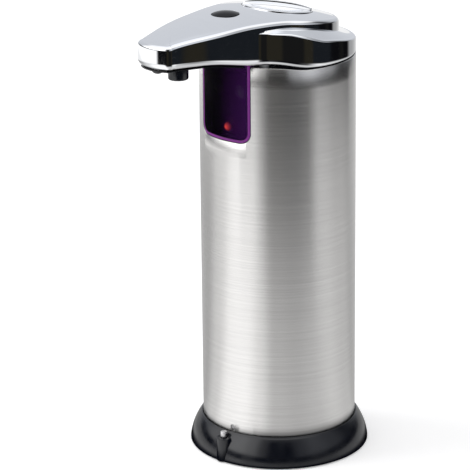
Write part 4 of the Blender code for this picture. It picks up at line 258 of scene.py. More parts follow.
def grid_faces(rows, columns, ring_closes=True, rows_close=False):
    """Quads between neighbouring rows and columns of points."""
    index = np.arange(rows * columns).reshape(rows, columns)
    if ring_closes:
        index = np.concatenate([index, index[:, :1]], axis=1)
    if rows_close:
        index = np.concatenate([index, index[:1]], axis=0)
    corners = (index[:-1, :-1], index[:-1, 1:], index[1:, 1:], index[1:, :-1])
    return np.stack([corner.ravel() for corner in corners], axis=1)


def cleaned(bm, sharp_deg, name):
    """A mesh from bm with joined points, outward normals and smooth shading up to an angle."""
    bmesh.ops.remove_doubles(bm, verts=bm.verts, dist=SAME_POINT)
    bmesh.ops.dissolve_degenerate(bm, edges=bm.edges, dist=SAME_POINT)
    bmesh.ops.recalc_face_normals(bm, faces=bm.faces)
    mesh = bpy.data.meshes.new(name)
    bm.to_mesh(mesh)
    bm.free()
    mesh.shade_smooth()
    mesh.set_sharp_from_angle(angle=math.radians(sharp_deg))
    return mesh


def surface(name, points, sharp_deg=SHARP_DEG, ring_closes=True, rows_close=False):
    """An object from a grid of points, with quads between its neighbouring rows and columns."""
    faces = grid_faces(*points.shape[:2], ring_closes, rows_close)
    raw = bpy.data.meshes.new(name + "_raw")
    raw.from_pydata(points.reshape(-1, 3).tolist(), [], faces.tolist())
    bm = bmesh.new()
    bm.from_mesh(raw)
    bpy.data.meshes.remove(raw)
    made = bpy.data.objects.new(name, cleaned(bm, sharp_deg, name))
    bpy.context.scene.collection.objects.link(made)
    return made


def rounded_outline(corners, reaches, steps=6):
    """A closed outline with bent corners: each is a parabola between the points at its reach on both
    sides, and takes at most a given share of a side."""
    most = 0.48
    corners = np.asarray(corners, float)
    before = np.roll(corners, 1, axis=0) - corners
    after = np.roll(corners, -1, axis=0) - corners
    far_before = np.linalg.norm(before, axis=1, keepdims=True)
    far_after = np.linalg.norm(after, axis=1, keepdims=True)
    reach = np.broadcast_to(np.asarray(reaches, float), len(corners))[:, None]
    start = corners + before / far_before * np.minimum(reach, far_before * most)
    end = corners + after / far_after * np.minimum(reach, far_after * most)
    t = np.linspace(0, 1, steps)[None, :, None]
    bent = start[:, None] * (1 - t) ** 2 + corners[:, None] * (2 * t * (1 - t)) + end[:, None] * t * t
    return bent.reshape(-1, 2)


def quarter(count):
    """Turns from 0 to a right angle."""
    return np.linspace(0, math.pi / 2, count)


def shares_after(count):
    """Even shares up to 1, without 0."""
    return np.linspace(0, 1, count + 1)[1:]


def from_front(turns):
    """Unit vectors in plan at these turns from the front toward +X."""
    return np.stack([np.sin(turns), -np.cos(turns)], axis=-1)


def revolved(outline, turns):
    """Rings of points: each outline point (radius, height) goes round Z over the turns."""
    radius, height = outline[:, :1], np.repeat(outline[:, 1:], len(turns), axis=1)
    return np.stack([radius * np.cos(turns), radius * np.sin(turns), height], axis=2)


def turned(name, outline, segments=96):
    """A body of revolution about Z from a closed outline of (radius, height) points."""
    outline = np.maximum(np.asarray(outline, float), [0, -math.inf])
    turns = np.linspace(0, math.tau, segments, endpoint=False)
    return surface(name, revolved(outline, turns), rows_close=True)


def drawn_in(outline, shares, heights):
    """Rings of the outline, each drawn to its middle by a share and put at a height."""
    outline = np.asarray(outline, float)
    middle = outline.mean(axis=0)
    plan = middle + (outline - middle)[None] * shares[:, None, None]
    level = np.broadcast_to(heights[:, None, None], plan.shape[:2] + (1,))
    return np.concatenate([plan, level], axis=2)


def prism(name, outline, foot, top, rounding=0.0):
    """An upright plate: the outline drawn to its middle below, up its side and to its middle above, with
    both edges rounded by this much."""
    outline = np.asarray(outline, float)
    size = np.abs(outline - outline.mean(axis=0)).max()
    edge_points = 5
    turns = quarter(edge_points if rounding else 1)
    shrink = 1 - rounding * (1 - np.sin(turns)) / size
    low = foot + rounding * (1 - np.cos(turns))
    high = top - rounding * (1 - np.cos(turns[::-1]))
    shares = np.concatenate([[0], shrink, shrink[::-1], [0]])
    heights = np.concatenate([[foot], low, high, [top]])
    return surface(name, drawn_in(outline, shares, heights))


def block(name, low, high):
    """A plain cutter between two corners."""
    outline = [(low[0], low[1]), (high[0], low[1]), (high[0], high[1]), (low[0], high[1])]
    return prism(name, outline, low[2], high[2])


def placed(made, matrix):
    """The object with its own points moved, so that the object itself stays at the origin."""
    made.data.transform(matrix)
    made.data.update()
    return made


def moved(made, x=0, y=0):
    """The object with its own points shifted."""
    return placed(made, Matrix.Translation((x, y, 0)))


def give_mesh(made, mesh):
    """The object with this mesh in place of its own, under the same name."""
    old, name = made.data, made.data.name
    made.data = mesh
    bpy.data.meshes.remove(old)
    mesh.name = name
    return made


def combined(made, tool, operation="DIFFERENCE"):
    """The object after a Boolean with the tool, which is then removed."""
    modifier = made.modifiers.new("shape", "BOOLEAN")
    modifier.operation = operation
    modifier.solver = "EXACT"
    modifier.object = tool
    bpy.context.view_layer.update()
    graph = bpy.context.evaluated_depsgraph_get()
    result = bpy.data.meshes.new_from_object(made.evaluated_get(graph))
    made.modifiers.clear()
    give_mesh(made, result)
    bpy.data.meshes.remove(tool.data)
    return made


def sharpened(made, sharp_deg=SHARP_DEG, ends_open=False):
    """Smooth shading up to this angle, after the last Boolean, with open ends filled first."""
    bm = bmesh.new()
    bm.from_mesh(made.data)
    if ends_open:
        bmesh.ops.holes_fill(bm, edges=[edge for edge in bm.edges if edge.is_boundary], sides=0)
    return give_mesh(made, cleaned(bm, sharp_deg, made.data.name))


def softened(made, width):
    """A small bevel of two segments on the edges that turn by more than a given angle."""
    edge_deg = 35
    bevel = made.modifiers.new("soft_edges", "BEVEL")
    bevel.width = width
    bevel.segments = 2
    bevel.limit_method = "ANGLE"
    bevel.angle_limit = math.radians(edge_deg)
    bevel.harden_normals = True
    return made


def shown(made, node, finish=None):
    """The piece with the node's finish, or another one, and its body. It stands for the node."""
    made.data.materials.clear()
    made.data.materials.append(finish or finish_for(SLOTS[node]))
    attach(made, BODIES[node])
    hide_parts(node)
    return made


# Node materials


def node_of(tree, kind, **settings):
    """A new shader node of this kind with these settings."""
    node = tree.nodes.new("ShaderNode" + kind)
    for key, value in settings.items():
        setattr(node, key, value)
    return node


def feed(tree, node, **inputs):
    """The node with its inputs joined or set. Each is named with _ for a space, and takes an output, a
    number, a vector or a colour of three channels."""
    for key, value in inputs.items():
        socket = node.inputs[key.replace("_", " ")]
        if isinstance(value, bpy.types.NodeSocket):
            tree.links.new(value, socket)
        elif socket.type == "RGBA":
            socket.default_value = (*value, 1)
        else:
            socket.default_value = value
    return node


def blank_tree(name, kind, output):
    """(material, tree, shader) with a shader of this kind joined to the output."""
    material = bpy.data.materials.new(name)
    material.use_nodes = True
    tree = material.node_tree
    tree.nodes.clear()
    shader = node_of(tree, kind)
    feed(tree, node_of(tree, "OutputMaterial"), Surface=shader.outputs[output])
    return material, tree, shader


def blank_material(name):
    """(material, tree, shader) of a solid finish."""
    return blank_tree(name, "BsdfPrincipled", "BSDF")


def object_place(tree):
    """The point's Object coordinates."""
    return node_of(tree, "TexCoord").outputs["Object"]


def object_axis(tree, axis):
    """One of the Object coordinates: X, Y or Z."""
    return feed(tree, node_of(tree, "SeparateXYZ"), Vector=object_place(tree)).outputs[axis]


def vector_math(tree, operation, other=(0, 0, 0)):
    """The number that a vector sum of the Object coordinates and another vector gives."""
    node = node_of(tree, "VectorMath", operation=operation)
    tree.links.new(object_place(tree), node.inputs[0])
    node.inputs[1].default_value = other
    return node.outputs["Value"]


def math_node(tree, operation, first, second):
    """One sum of a socket with a socket or a number."""
    node = node_of(tree, "Math", operation=operation)
    for socket, value in zip(node.inputs, (first, second)):
        if isinstance(value, bpy.types.NodeSocket):
            tree.links.new(value, socket)
        else:
            socket.default_value = value
    return node.outputs["Value"]


def object_noise(tree, scale, detail=3.0, rough=0.5):
    """Noise in Object coordinates, stretched by the three scales, per metre."""
    stretch = feed(tree, node_of(tree, "Mapping"), Vector=object_place(tree), Scale=scale)
    noise = node_of(tree, "TexNoise")
    feed(tree, noise, Vector=stretch.outputs["Vector"], Scale=1, Detail=detail, Roughness=rough)
    return noise.outputs["Fac"]


def spread(tree, value, low, high, from_low=0.3, from_high=0.7, way="LINEAR"):
    """The value carried from its usual range to another."""
    node = node_of(tree, "MapRange", interpolation_type=way)
    feed(tree, node, Value=value, From_Min=from_low, From_Max=from_high, To_Min=low, To_Max=high)
    return node.outputs["Result"]


def mixed(tree, factor, first, second):
    """The first colour where the factor is 0 and the second where it is 1."""
    node = node_of(tree, "Mix", data_type="RGBA")
    return feed(tree, node, Factor=factor, A=first, B=second).outputs["Result"]


def bumped(tree, shader, value, distance):
    """A bump from this value, this deep in metres."""
    bump = feed(tree, node_of(tree, "Bump"), Height=value, Strength=1, Distance=distance)
    feed(tree, shader, Normal=bump.outputs["Normal"])


def shade(base, share):
    """The colour times this share, at most 1."""
    return tuple(min(channel * share, 1) for channel in base)


def general_finish(name, base, rough, metallic=0, scale=(180, 180, 180), rough_spread=0.06, bump=0.00001,
                   **sockets):
    """A finish with mottled colour, uneven roughness and a fine bump, all from noise in Object
    coordinates."""
    variation, finer, fine_detail = 0.12, 12, 2
    material, tree, shader = blank_material(name)
    noise = object_noise(tree, scale)
    mottled = mixed(tree, spread(tree, noise, 0, 1), shade(base, 1 - variation), shade(base, 1 + variation))
    uneven = spread(tree, noise, rough - rough_spread, rough + rough_spread)
    feed(tree, shader, Base_Color=mottled, Roughness=uneven, Metallic=metallic, **sockets)
    bumped(tree, shader, object_noise(tree, tuple(axis * finer for axis in scale), fine_detail), bump)
    return material


def chrome_finish(looks):
    """Polished plating: an even metal with faint wipe marks in its roughness."""
    material, tree, shader = blank_material("chrome")
    wipes = object_noise(tree, scale=(60, 220, 60), detail=4)
    plating = mixed(tree, spread(tree, wipes, 0, 1), looks.chrome, shade(looks.chrome, 1.02))
    marks = spread(tree, wipes, looks.chrome_rough * 0.7, looks.chrome_rough * 1.5)
    feed(tree, shader, Base_Color=plating, Roughness=marks, Metallic=1)
    return material


def brushed_finish(looks):
    """Steel brushed round the tube: fine level streaks in its roughness and bump, wider ones in its colour,
    and a highlight that is drawn out upright."""
    material, tree, shader = blank_material("brushed_steel")
    tangent = node_of(tree, "Tangent", direction_type="RADIAL", axis="Z")
    feed(tree, shader, Tangent=tangent.outputs["Tangent"], Anisotropic=0.9, Anisotropic_Rotation=0.25)
    streaks = object_noise(tree, scale=(14, 14, 9000), detail=3, rough=0.6)
    wider = spread(tree, object_noise(tree, scale=(12, 12, 1900), detail=5, rough=0.75), 0, 1)
    steel = mixed(tree, wider, shade(looks.steel, 0.93), shade(looks.steel, 1.045))
    brushing = spread(tree, streaks, looks.steel_rough * 0.85, looks.steel_rough * 1.15)
    feed(tree, shader, Base_Color=steel, Roughness=brushing, Metallic=1)
    bumped(tree, shader, streaks, distance=0.000004)
    return material


def pane_finish(looks, half_width):
    """Dark tinted acrylic with painted shade and light across it: near black at -X, and violet at +X where
    light passes through it.
    """
    material, tree, shader = blank_material("tinted_acrylic")
    side = spread(tree, object_axis(tree, "X"), 0, 1, from_low=-half_width * 0.1, from_high=half_width)
    cloud = object_noise(tree, scale=(120, 120, 60), detail=2)
    # Painted shade at -X turning to painted light at +X across the pane.
    tint_and_light = mixed(tree, side, looks.pane_shaded_side, looks.pane_lit_side)
    clouded = mixed(tree, spread(tree, cloud, 0, 0.12), tint_and_light, (0.006, 0.001, 0.012))
    feed(tree, shader, Base_Color=clouded, Roughness=spread(tree, cloud, 0.02, 0.07), Alpha=0.60,
         Specular_IOR_Level=0.012)
    return material


def rim_finish(looks):
    """Violet acrylic edge, made bright by painted light that the pane carries out at its edge, a little
    uneven along its length.
    """
    material, tree, shader = blank_material("violet_edge")
    cloud = object_noise(tree, scale=(160, 160, 120), detail=2)
    # Painted light: the bright violet stands for light coming out of the pane's edge.
    feed(tree, shader, Base_Color=mixed(tree, cloud, shade(looks.rim, 0.6), looks.rim),
         Roughness=spread(tree, cloud, 0.12, 0.24), Specular_IOR_Level=0.3)
    return material


def glow(tree, shader, centre, reach, light, strength):
    """Light that is strongest at a centre and falls off to nothing at this reach."""
    falloff = 1.6
    near = spread(tree, vector_math(tree, "DISTANCE", centre), 1, 0, from_low=0, from_high=reach)
    shine = mixed(tree, math_node(tree, "POWER", near, falloff), (0, 0, 0), light)
    feed(tree, shader, Emission_Color=shine, Emission_Strength=strength)


def glow_board_finish(lamp_place):
    """The dark sensor board, with a painted faint red glow round the light, where the light would fall on
    it.
    """
    material, tree, shader = blank_material("sensor_board")
    grain = object_noise(tree, scale=(600, 600, 600), detail=2)
    feed(tree, shader, Base_Color=mixed(tree, grain, (0.003, 0.003, 0.005), (0.006, 0.005, 0.008)),
         Roughness=spread(tree, grain, 0.35, 0.5), Specular_IOR_Level=0.1)
    # Painted light: a faint red glow on the board round the lamp.
    glow(tree, shader, lamp_place, reach=0.005, light=(0.9, 0.01, 0.02), strength=0.06)
    return material


def lamp_finish(looks, nose):
    """A lit red lamp: brightest at its nose."""
    material, tree, shader = blank_material("red_lamp")
    grain = object_noise(tree, scale=(900, 900, 900), detail=2)
    feed(tree, shader, Base_Color=mixed(tree, grain, (0.10, 0.004, 0.004), (0.14, 0.006, 0.006)),
         Roughness=spread(tree, grain, 0.25, 0.35))
    glow(tree, shader, nose, reach=0.0027, light=looks.lamp, strength=4.2)
    return material


def jacket_finish():
    """A cell's printed-foil jacket: a dark body with a copper band at its upper end."""
    material, tree, shader = blank_material("cell_jacket")
    band_foot, band_start = 0.0372, 0.0376
    band = spread(tree, object_axis(tree, "Z"), 0, 1, from_low=band_foot, from_high=band_start)
    grain = object_noise(tree, scale=(300, 300, 80), detail=3)
    body = mixed(tree, grain, (0.018, 0.020, 0.024), (0.030, 0.032, 0.038))
    copper = mixed(tree, grain, (0.50, 0.24, 0.10), (0.60, 0.30, 0.14))
    feed(tree, shader, Base_Color=mixed(tree, band, body, copper), Roughness=spread(tree, grain, 0.24, 0.36),
         Metallic=0.6)
    bumped(tree, shader, grain, distance=0.00001)
    return material


def circuit_finish():
    """Green solder mask over a maze of raised tracks."""
    material, tree, shader = blank_material("circuit_board")
    cells = node_of(tree, "TexVoronoi", distance="CHEBYCHEV", feature="F2")
    feed(tree, cells, Vector=object_place(tree), Scale=620)
    track = spread(tree, cells.outputs["Distance"], 0, 1, from_low=0.45, from_high=0.55)
    feed(tree, shader, Base_Color=mixed(tree, track, (0.006, 0.075, 0.030), (0.010, 0.130, 0.050)),
         Roughness=spread(tree, track, 0.42, 0.26, from_low=0, from_high=1))
    bumped(tree, shader, track, distance=0.00004)
    return material


# The finishes that need no nodes of their own, by slot, and the materials made so far

PLAIN_FINISHES = {
    "steel": dict(base=(0.60, 0.60, 0.61), metallic=1, rough=0.28, scale=(90, 90, 900)),
    "brass": dict(base=(0.72, 0.52, 0.24), metallic=1, rough=0.30, scale=(150, 150, 500)),
    "black_gloss": dict(base=(0.006, 0.006, 0.008), rough=0.10, rough_spread=0.03, bump=0.000002),
    "black_rubber": dict(base=(0.018, 0.018, 0.019), rough=0.72, scale=(260, 260, 260), bump=0.00003),
    "grey_plastic": dict(base=(0.34, 0.34, 0.35), rough=0.42),
    "milk_plastic": dict(base=(0.78, 0.80, 0.80), rough=0.36, Subsurface_Weight=0.15,
                         Transmission_Weight=0.25),
    "white_acetal": dict(base=(0.80, 0.80, 0.77), rough=0.34),
    "silicone": dict(base=(0.76, 0.78, 0.80), rough=0.30, Transmission_Weight=0.55),
    "clear_lamp": dict(base=(0.55, 0.56, 0.62), rough=0.08, bump=0.000002, Transmission_Weight=0.7),
    "dark_lamp": dict(base=(0.012, 0.010, 0.014), rough=0.08, bump=0.000002),
    "red_wire": dict(base=(0.42, 0.02, 0.02), rough=0.40, scale=(400, 400, 400)),
    "grey_wire": dict(base=(0.22, 0.22, 0.23), rough=0.42, scale=(400, 400, 400)),
}
FINISHES = {}


def button_finish():
    """The button's dark gloss, which mirrors little."""
    return general_finish("button_black", (0.006, 0.006, 0.008), 0.12, rough_spread=0.03, bump=0.000002,
                          Specular_IOR_Level=0.12)


def plastic_finish(looks):
    """The satin black plastic of the base."""
    return general_finish("black_plastic", looks.plastic, looks.plastic_rough, bump=0.000004,
                          Specular_IOR_Level=0.6)


def finish_for(slot):
    """The material of one of the record's slots, made once."""
    if slot not in FINISHES:
        looks, body = bpy.context.scene.soap_looks, bpy.context.scene.soap_body
        makers = {
            "chrome_cover": lambda: chrome_finish(looks),
            "brushed_sleeve": lambda: brushed_finish(looks),
            "window_tint": lambda: pane_finish(looks, body.window_half),
            "red_lamp": lambda: lamp_finish(looks, (0, -body.lamp_nose, body.lamp_height)),
            "cell_jacket": jacket_finish,
            "board_green": circuit_finish,
            "black_plastic": lambda: plastic_finish(looks),
        }
        FINISHES[slot] = makers[slot]() if slot in makers else general_finish(slot, **PLAIN_FINISHES[slot])
    return FINISHES[slot]


def smooth_copy(node, bevel=0.0):
    """A piece with the node's own form, its loose triangles joined and shaded smooth."""
    sharp_deg, name = 34, node + "_shown"
    bm = bmesh.new()
    bm.from_mesh(frame["nodes"][node].data)
    made = bpy.data.objects.new(name, cleaned(bm, sharp_deg, name))
    bpy.context.scene.collection.objects.link(made)
    if bevel:
        softened(made, bevel)
    return shown(made, node)


# The head's shape


def crown_height(head, body, x, y):
    """The outer top: a parabola along the head with another arc in front, less a parabola across it whose
    bend passes from the tier's to the beak's by a smooth step."""
    along = y + head.crown_reach
    radius = np.where(along < 0, head.front_arc, head.rear_arc)
    share = smoothstep(-np.asarray(y, float), -head.arc_rear, head.arc_front)
    bend = 1 / head.tier_arc + (1 / head.beak_arc - 1 / head.tier_arc) * share
    return body.joint + head.crown_rise - along * along / (2 * radius) - x * x * bend / 2


def underside_height(head, body, y):
    """The lower edge: level round the collar's rear, then two smooth steps, with a slight slope added from
    the end of the first one."""
    reach = -np.asarray(y, float)
    rise = head.collar_rise * smoothstep(reach, head.collar_start, head.collar_end)
    rise = rise + head.beak_rise * smoothstep(reach, head.beak_start, head.beak_end)
    return body.joint + rise + head.beak_slope * np.maximum(reach - head.collar_end, 0)


def lowest_underside(head, body, reach, radius):
    """The lower of the two heights at the front and the rear of a round piece under the beak."""
    return float(underside_height(head, body, np.array([-reach - radius, -reach + radius])).min())


def beak_front(head):
    """(offset, reach, turn): the corner arcs' centres off the middle and out from the axis, and half the
    turn of the curved front face between them."""
    offset = head.tip_half_width - head.tip_corner
    far = head.tip_face - head.tip_corner
    turn = math.asin(offset / far)
    return offset, head.beak_reach - head.tip_face + far * math.cos(turn), turn


def side_slope(head):
    """How much the beak narrows for each metre forward."""
    drop = head.root_half_width - head.tip_half_width
    return drop / (beak_front(head)[1] - head.root_reach)


def side_radius(head, turn):
    """Distance from the axis to the beak's straight side, at this turn from the front."""
    slope = side_slope(head)
    at_axis = head.root_half_width + head.root_reach * slope
    return at_axis / (np.sin(turn) + slope * np.cos(turn))


def mirrored(half):
    """A closed loop from its half at +X, whose first and last points are on the middle line."""
    return np.concatenate([half, half[-2:0:-1] * [-1, 1]])


def head_loops(head, body):
    """The plan outlines of collar and upper tier, point for point: the tip's arc, its round corner and its
    straight side, a parabola into the collar's circle, and the circle to the rear. The upper tier keeps the
    side's line, and is the smooth maximum of it and a smaller circle. Both halves are mirrored in x."""
    arc_points, side_points, fillet_points, circle_points = 14, 39, 12, 85
    rear_ease, tier_turn = 1.15, 0.2
    slope = side_slope(head)
    offset, start, face_turn = beak_front(head)
    turns = np.linspace(0, face_turn, arc_points, endpoint=False)
    face = head.tip_face * from_front(turns) + [0, head.tip_face - head.beak_reach]
    turns = np.linspace(face_turn - math.pi / 2, -math.atan(slope), arc_points)
    corner = [offset, -start] + head.tip_corner * np.stack([np.cos(turns), np.sin(turns)], axis=1)
    side_end = head.root_reach + head.root_fillet
    reach = np.linspace(-corner[-1, 1], side_end, side_points + 1)[1:]
    share = (reach[0] - reach) / (reach[0] - reach[-1])
    end_width = head.root_half_width - (side_end - head.root_reach) * slope
    width = corner[-1, 0] + (end_width - corner[-1, 0]) * share
    width = width + head.side_bulge * np.sin(math.pi * share) ** 2
    side = np.stack([width, -reach], axis=1)
    root_turn = math.atan2(head.root_half_width, head.root_reach)
    landing_turn = root_turn + head.root_fillet / body.radius
    root, landing = body.radius * from_front(np.array([root_turn, landing_turn]))
    t = shares_after(fillet_points)[:, None]
    fillet = side[-1] * (1 - t) ** 2 + root * (2 * t * (1 - t)) + landing * t * t
    turns = landing_turn + (math.pi - landing_turn) * shares_after(circle_points) ** rear_ease
    collar = np.concatenate([fillet, body.radius * from_front(turns)])
    turns = np.arctan2(collar[:, 0], -collar[:, 1])
    line = side_radius(head, np.minimum(turns, math.pi / 2 - math.atan(slope)))
    outer = (line + head.tier_radius + np.sqrt((line - head.tier_radius) ** 2 + head.blend ** 2)) / 2
    radius = line + (outer - line) * smoothstep(turns, root_turn, root_turn + tier_turn)
    tier = radius[:, None] * from_front(turns)
    return [mirrored(np.concatenate([face, corner, side, part])) for part in (collar, tier)]


def inset(loop, distance):
    """The loop moved inward by its mitred normals, with a limit at sharp corners."""
    least_cosine = 0.5
    before = loop - np.roll(loop, 1, axis=0)
    after = np.roll(loop, -1, axis=0) - loop
    before /= np.linalg.norm(before, axis=1, keepdims=True)
    after /= np.linalg.norm(after, axis=1, keepdims=True)
    along = before + after
    normal = np.stack([-along[:, 1], along[:, 0]], axis=1)
    normal /= np.linalg.norm(normal, axis=1, keepdims=True)
    cosine = np.maximum(normal[:, 0] * -after[:, 1] + normal[:, 1] * after[:, 0], least_cosine)
    return loop + normal * (distance / cosine)[:, None]


def to_spine(head, loop, share):
    """The loop drawn this far toward the line along the head's middle."""
    y = np.clip(loop[:, 1], -head.spine_front, head.spine_rear)
    spine = np.stack([np.zeros_like(y), y], axis=1)
    return loop + (spine - loop) * share


def ring(loop, heights):
    """Points in space over a plan loop."""
    return np.column_stack([loop, np.broadcast_to(heights, len(loop))])


def crown_rings(head, body, loop, shares, drop=0.0):
    """Rings over the crown, from the loop to the middle line."""
    drawn = [to_spine(head, loop, share) for share in shares]
    return [ring(plan, crown_height(head, body, plan[:, 0], plan[:, 1]) - drop) for plan in drawn]


def rim_height(head, body, y):
    """The collar's rim: it falls from front to rear by a short smooth step and a long one, which starts
    before the short one ends."""
    short_share, overlap = 0.45, 4
    short = smoothstep(y, -head.rim_steep, -head.rim_easy)
    long = smoothstep(y, -head.rim_easy * overlap, body.radius)
    fall = short_share * short + (1 - short_share) * long
    return body.joint + head.rim_front + (head.rim_rear - head.rim_front) * fall


def ledge_height(head, body, y):
    """The ledge's inner edge: it falls from front to rear by one smooth step."""
    fall = smoothstep(y, -head.ledge_start, head.ledge_end)
    return body.joint + head.ledge_front + (head.ledge_rear - head.ledge_front) * fall


def lip_radius(head, y):
    """Rounding of the lower edge: it grows by one smooth step in front of the axis and by another one
    toward the tip."""
    start, end, tip_start = 0.004, 0.016, head.root_reach + 0.02
    lip = head.lip + (head.beak_lip - head.lip) * smoothstep(-y, start, end)
    return lip + (head.tip_lip - head.beak_lip) * smoothstep(-y, tip_start, head.beak_reach)


def head_surface(head, body):
    """The cover's rings: the inner skin from the spine down, the round lower lip, the wall, the rounded
    rim, the ledge that runs into the upper tier, its wall, the round upper edge and the crown. Both tiers
    are one wall along the beak."""
    ledge_share, fillet_share, least_gap = 0.15, 0.35, 1e-9
    lower, upper = head_loops(head, body)
    filleted = inset(upper, head.top_fillet)
    wall_top = crown_height(head, body, filleted[:, 0], filleted[:, 1]) - head.top_fillet
    rim = np.minimum(rim_height(head, body, lower[:, 1]), wall_top - head.step)
    gap = np.linalg.norm(upper - lower, axis=1)
    one_wall = rim + (wall_top - rim) * ledge_share
    ledge = np.where(gap < head.rim_fillet, one_wall, ledge_height(head, body, upper[:, 1]))
    ledge = np.minimum(ledge, wall_top - head.step / 4)
    under = underside_height(head, body, lower[:, 1])
    across = (upper - lower) / np.maximum(gap, least_gap)[:, None]
    fillet = np.minimum(head.rim_fillet, gap * fillet_share)
    lip = lip_radius(head, lower[:, 1])
    start = lower + across * fillet[:, None]
    rings = []
    for turn in quarter(11):
        plan = inset(lower, lip * (1 - math.sin(turn)))
        rings.append(ring(plan, under + lip * (1 - math.cos(turn))))
    for share in shares_after(8):
        rings.append(ring(lower, under + lip + (rim - fillet - under - lip) * share))
    for turn in quarter(8)[1:]:
        plan = lower + across * (fillet * (1 - math.cos(turn)))[:, None]
        rings.append(ring(plan, rim - fillet * (1 - math.sin(turn))))
    for share in shares_after(8):
        rings.append(ring(start + (upper - start) * share, rim + (ledge - rim) * share))
    for share in shares_after(7):
        rings.append(ring(upper, ledge + (wall_top - ledge) * share))
    for turn in quarter(12)[1:]:
        plan = inset(upper, head.top_fillet * (1 - math.cos(turn)))
        rings.append(ring(plan, wall_top + head.top_fillet * math.sin(turn)))
    rings += crown_rings(head, body, filleted, shares_after(29))
    inner_lower = inset(lower, head.wall)
    inner_upper = inset(upper, head.wall)
    inside = [
        ring(inner_lower, under),
        ring(inner_lower, rim - head.wall),
        ring(inner_upper, ledge - head.wall),
    ]
    inside += crown_rings(head, body, inner_upper, np.linspace(0, 1, 8), head.wall)
    return np.stack(inside[::-1] + rings)


def crown_matrix(head, body, y):
    """A frame on the crown's middle line, with Z square to the crown."""
    along = y + head.crown_reach
    tilt = -math.atan2(along, head.front_arc if along < 0 else head.rear_arc)
    height = float(crown_height(head, body, 0, y))
    return Matrix.Translation((0, y, height)) @ Matrix.Rotation(tilt, 4, "X")


def hole_cutter(name, radius, depth):
    """A drill whose upper end flares a little, so that the hole has a softened edge."""
    straight, knee, rise = 0.00045, 0.00018, 0.0002
    outward, wide = radius + 0.00012, radius + 0.0004
    outline = [(0, -depth), (radius, -depth), (radius, -straight), (outward, -knee), (wide, rise),
               (wide, depth), (0, depth)]
    return turned(name, outline, 128)


def make_head_cover(scene):
    """The chrome cover with its two round openings, which keep less than the usual clearance."""
    head, body = scene.soap_head, scene.soap_body
    clearance = body.gap * 0.7
    cover = surface("head_cover_shown", head_surface(head, body))
    for name, radius, y in (("cap_hole", head.cap_radius, 0),
                            ("button_hole", head.button_radius, -head.button_reach)):
        drill = hole_cutter(name, radius + clearance, head.cap_depth)
        combined(cover, placed(drill, crown_matrix(head, body, y)))
    shown(sharpened(cover), "head_cover")


def cap_surface(head):
    """The cap in polar rings. Its top is a shallow dome; two scoops, paraboloids about the axis, sink into
    it on both sides of a bar, and a smooth step carries the dome's height to the scoop's."""
    edge, chamfer = 0.0002, 0.0004
    scoop_start, scoop_end = -0.0002, 0.0008
    segments, scooped_rings, outer_rings, edge_rings = 300, 110, 10, 6
    turns = np.linspace(0, math.tau, segments, endpoint=False)
    flat = head.cap_radius - edge
    scooped = np.linspace(0, head.scoop_radius, scooped_rings)
    radius = np.concatenate([scooped, np.linspace(head.scoop_radius, flat, outer_rings)[1:]])[:, None]
    dome = -radius * radius / (2 * head.cap_crown)
    across = np.abs(radius * np.sin(turns - head.bar_turn)) - head.bar_width / 2
    rim = -head.scoop_radius ** 2 / (2 * head.cap_crown)
    bowl = rim - (head.scoop_depth + rim) * (1 - np.minimum(radius / head.scoop_radius, 1) ** 2)
    top = dome + np.minimum(bowl - dome, 0) * smoothstep(across, scoop_start, scoop_end)
    bend = quarter(edge_rings)[1:]
    level = -flat ** 2 / (2 * head.cap_crown)
    side = np.concatenate([
        np.stack([head.cap_radius - edge * (1 - np.sin(bend)), level - edge * (1 - np.cos(bend))], axis=1),
        [(head.cap_radius, -CAP_FLANGE), (head.cap_plug, -CAP_FLANGE),
         (head.cap_plug, -head.cap_depth + chamfer), (head.cap_plug - chamfer, -head.cap_depth),
         (0, -head.cap_depth)],
    ])
    upper = np.stack([radius * np.cos(turns), radius * np.sin(turns), top], axis=2)
    return np.concatenate([upper, revolved(side, turns)])


def bar_surface(head):
    """The grip bar as closed sections along its length u, from -1 to 1. Its half width is half of the
    widest times the root of 1 - |u| ** 2.5. Its height steps up from a short steep foot over a sloped flank
    and a second steep face to a nearly level back, over the way inward from the side to the middle."""
    sections, end_gap, sink, root = 121, 0.0004, 0.0002, 0.0006
    foot_rise, flank_rise, face_rise, back_rise = 0.28, 0.34, 0.34, 0.04
    end_drop, foot_share = 0.55, 0.98
    u = np.sin(np.linspace(-math.pi / 2, math.pi / 2, sections))[:, None]
    across = np.concatenate([np.linspace(1, 0, 60, endpoint=False), np.linspace(0, -1, 61)])[None, :]
    half = head.bar_width / 2 * np.sqrt(np.maximum(1 - np.abs(u) ** 2.5, 0))
    inward = 1 - np.abs(across)
    level = foot_rise * smoothstep(inward, 0, 0.16) + flank_rise * np.clip((inward - 0.14) / 0.44, 0, 1)
    level = level + face_rise * smoothstep(inward, 0.56, 0.70)
    level = level + back_rise * np.clip((inward - 0.68) / 0.32, 0, 1)
    along = np.broadcast_to(u * (head.cap_radius - end_gap), (sections, sections))
    sideways = half * across
    base = -(along ** 2 + sideways ** 2) / (2 * head.cap_crown) - sink
    tall = head.bar_rise * (1 - end_drop * np.abs(u) ** 3)
    top = np.stack([along, sideways, base + tall * level], axis=2)
    foot = np.stack([along, sideways * foot_share, base - root], axis=2)
    return np.concatenate([top, foot[:, ::-1]], axis=1)


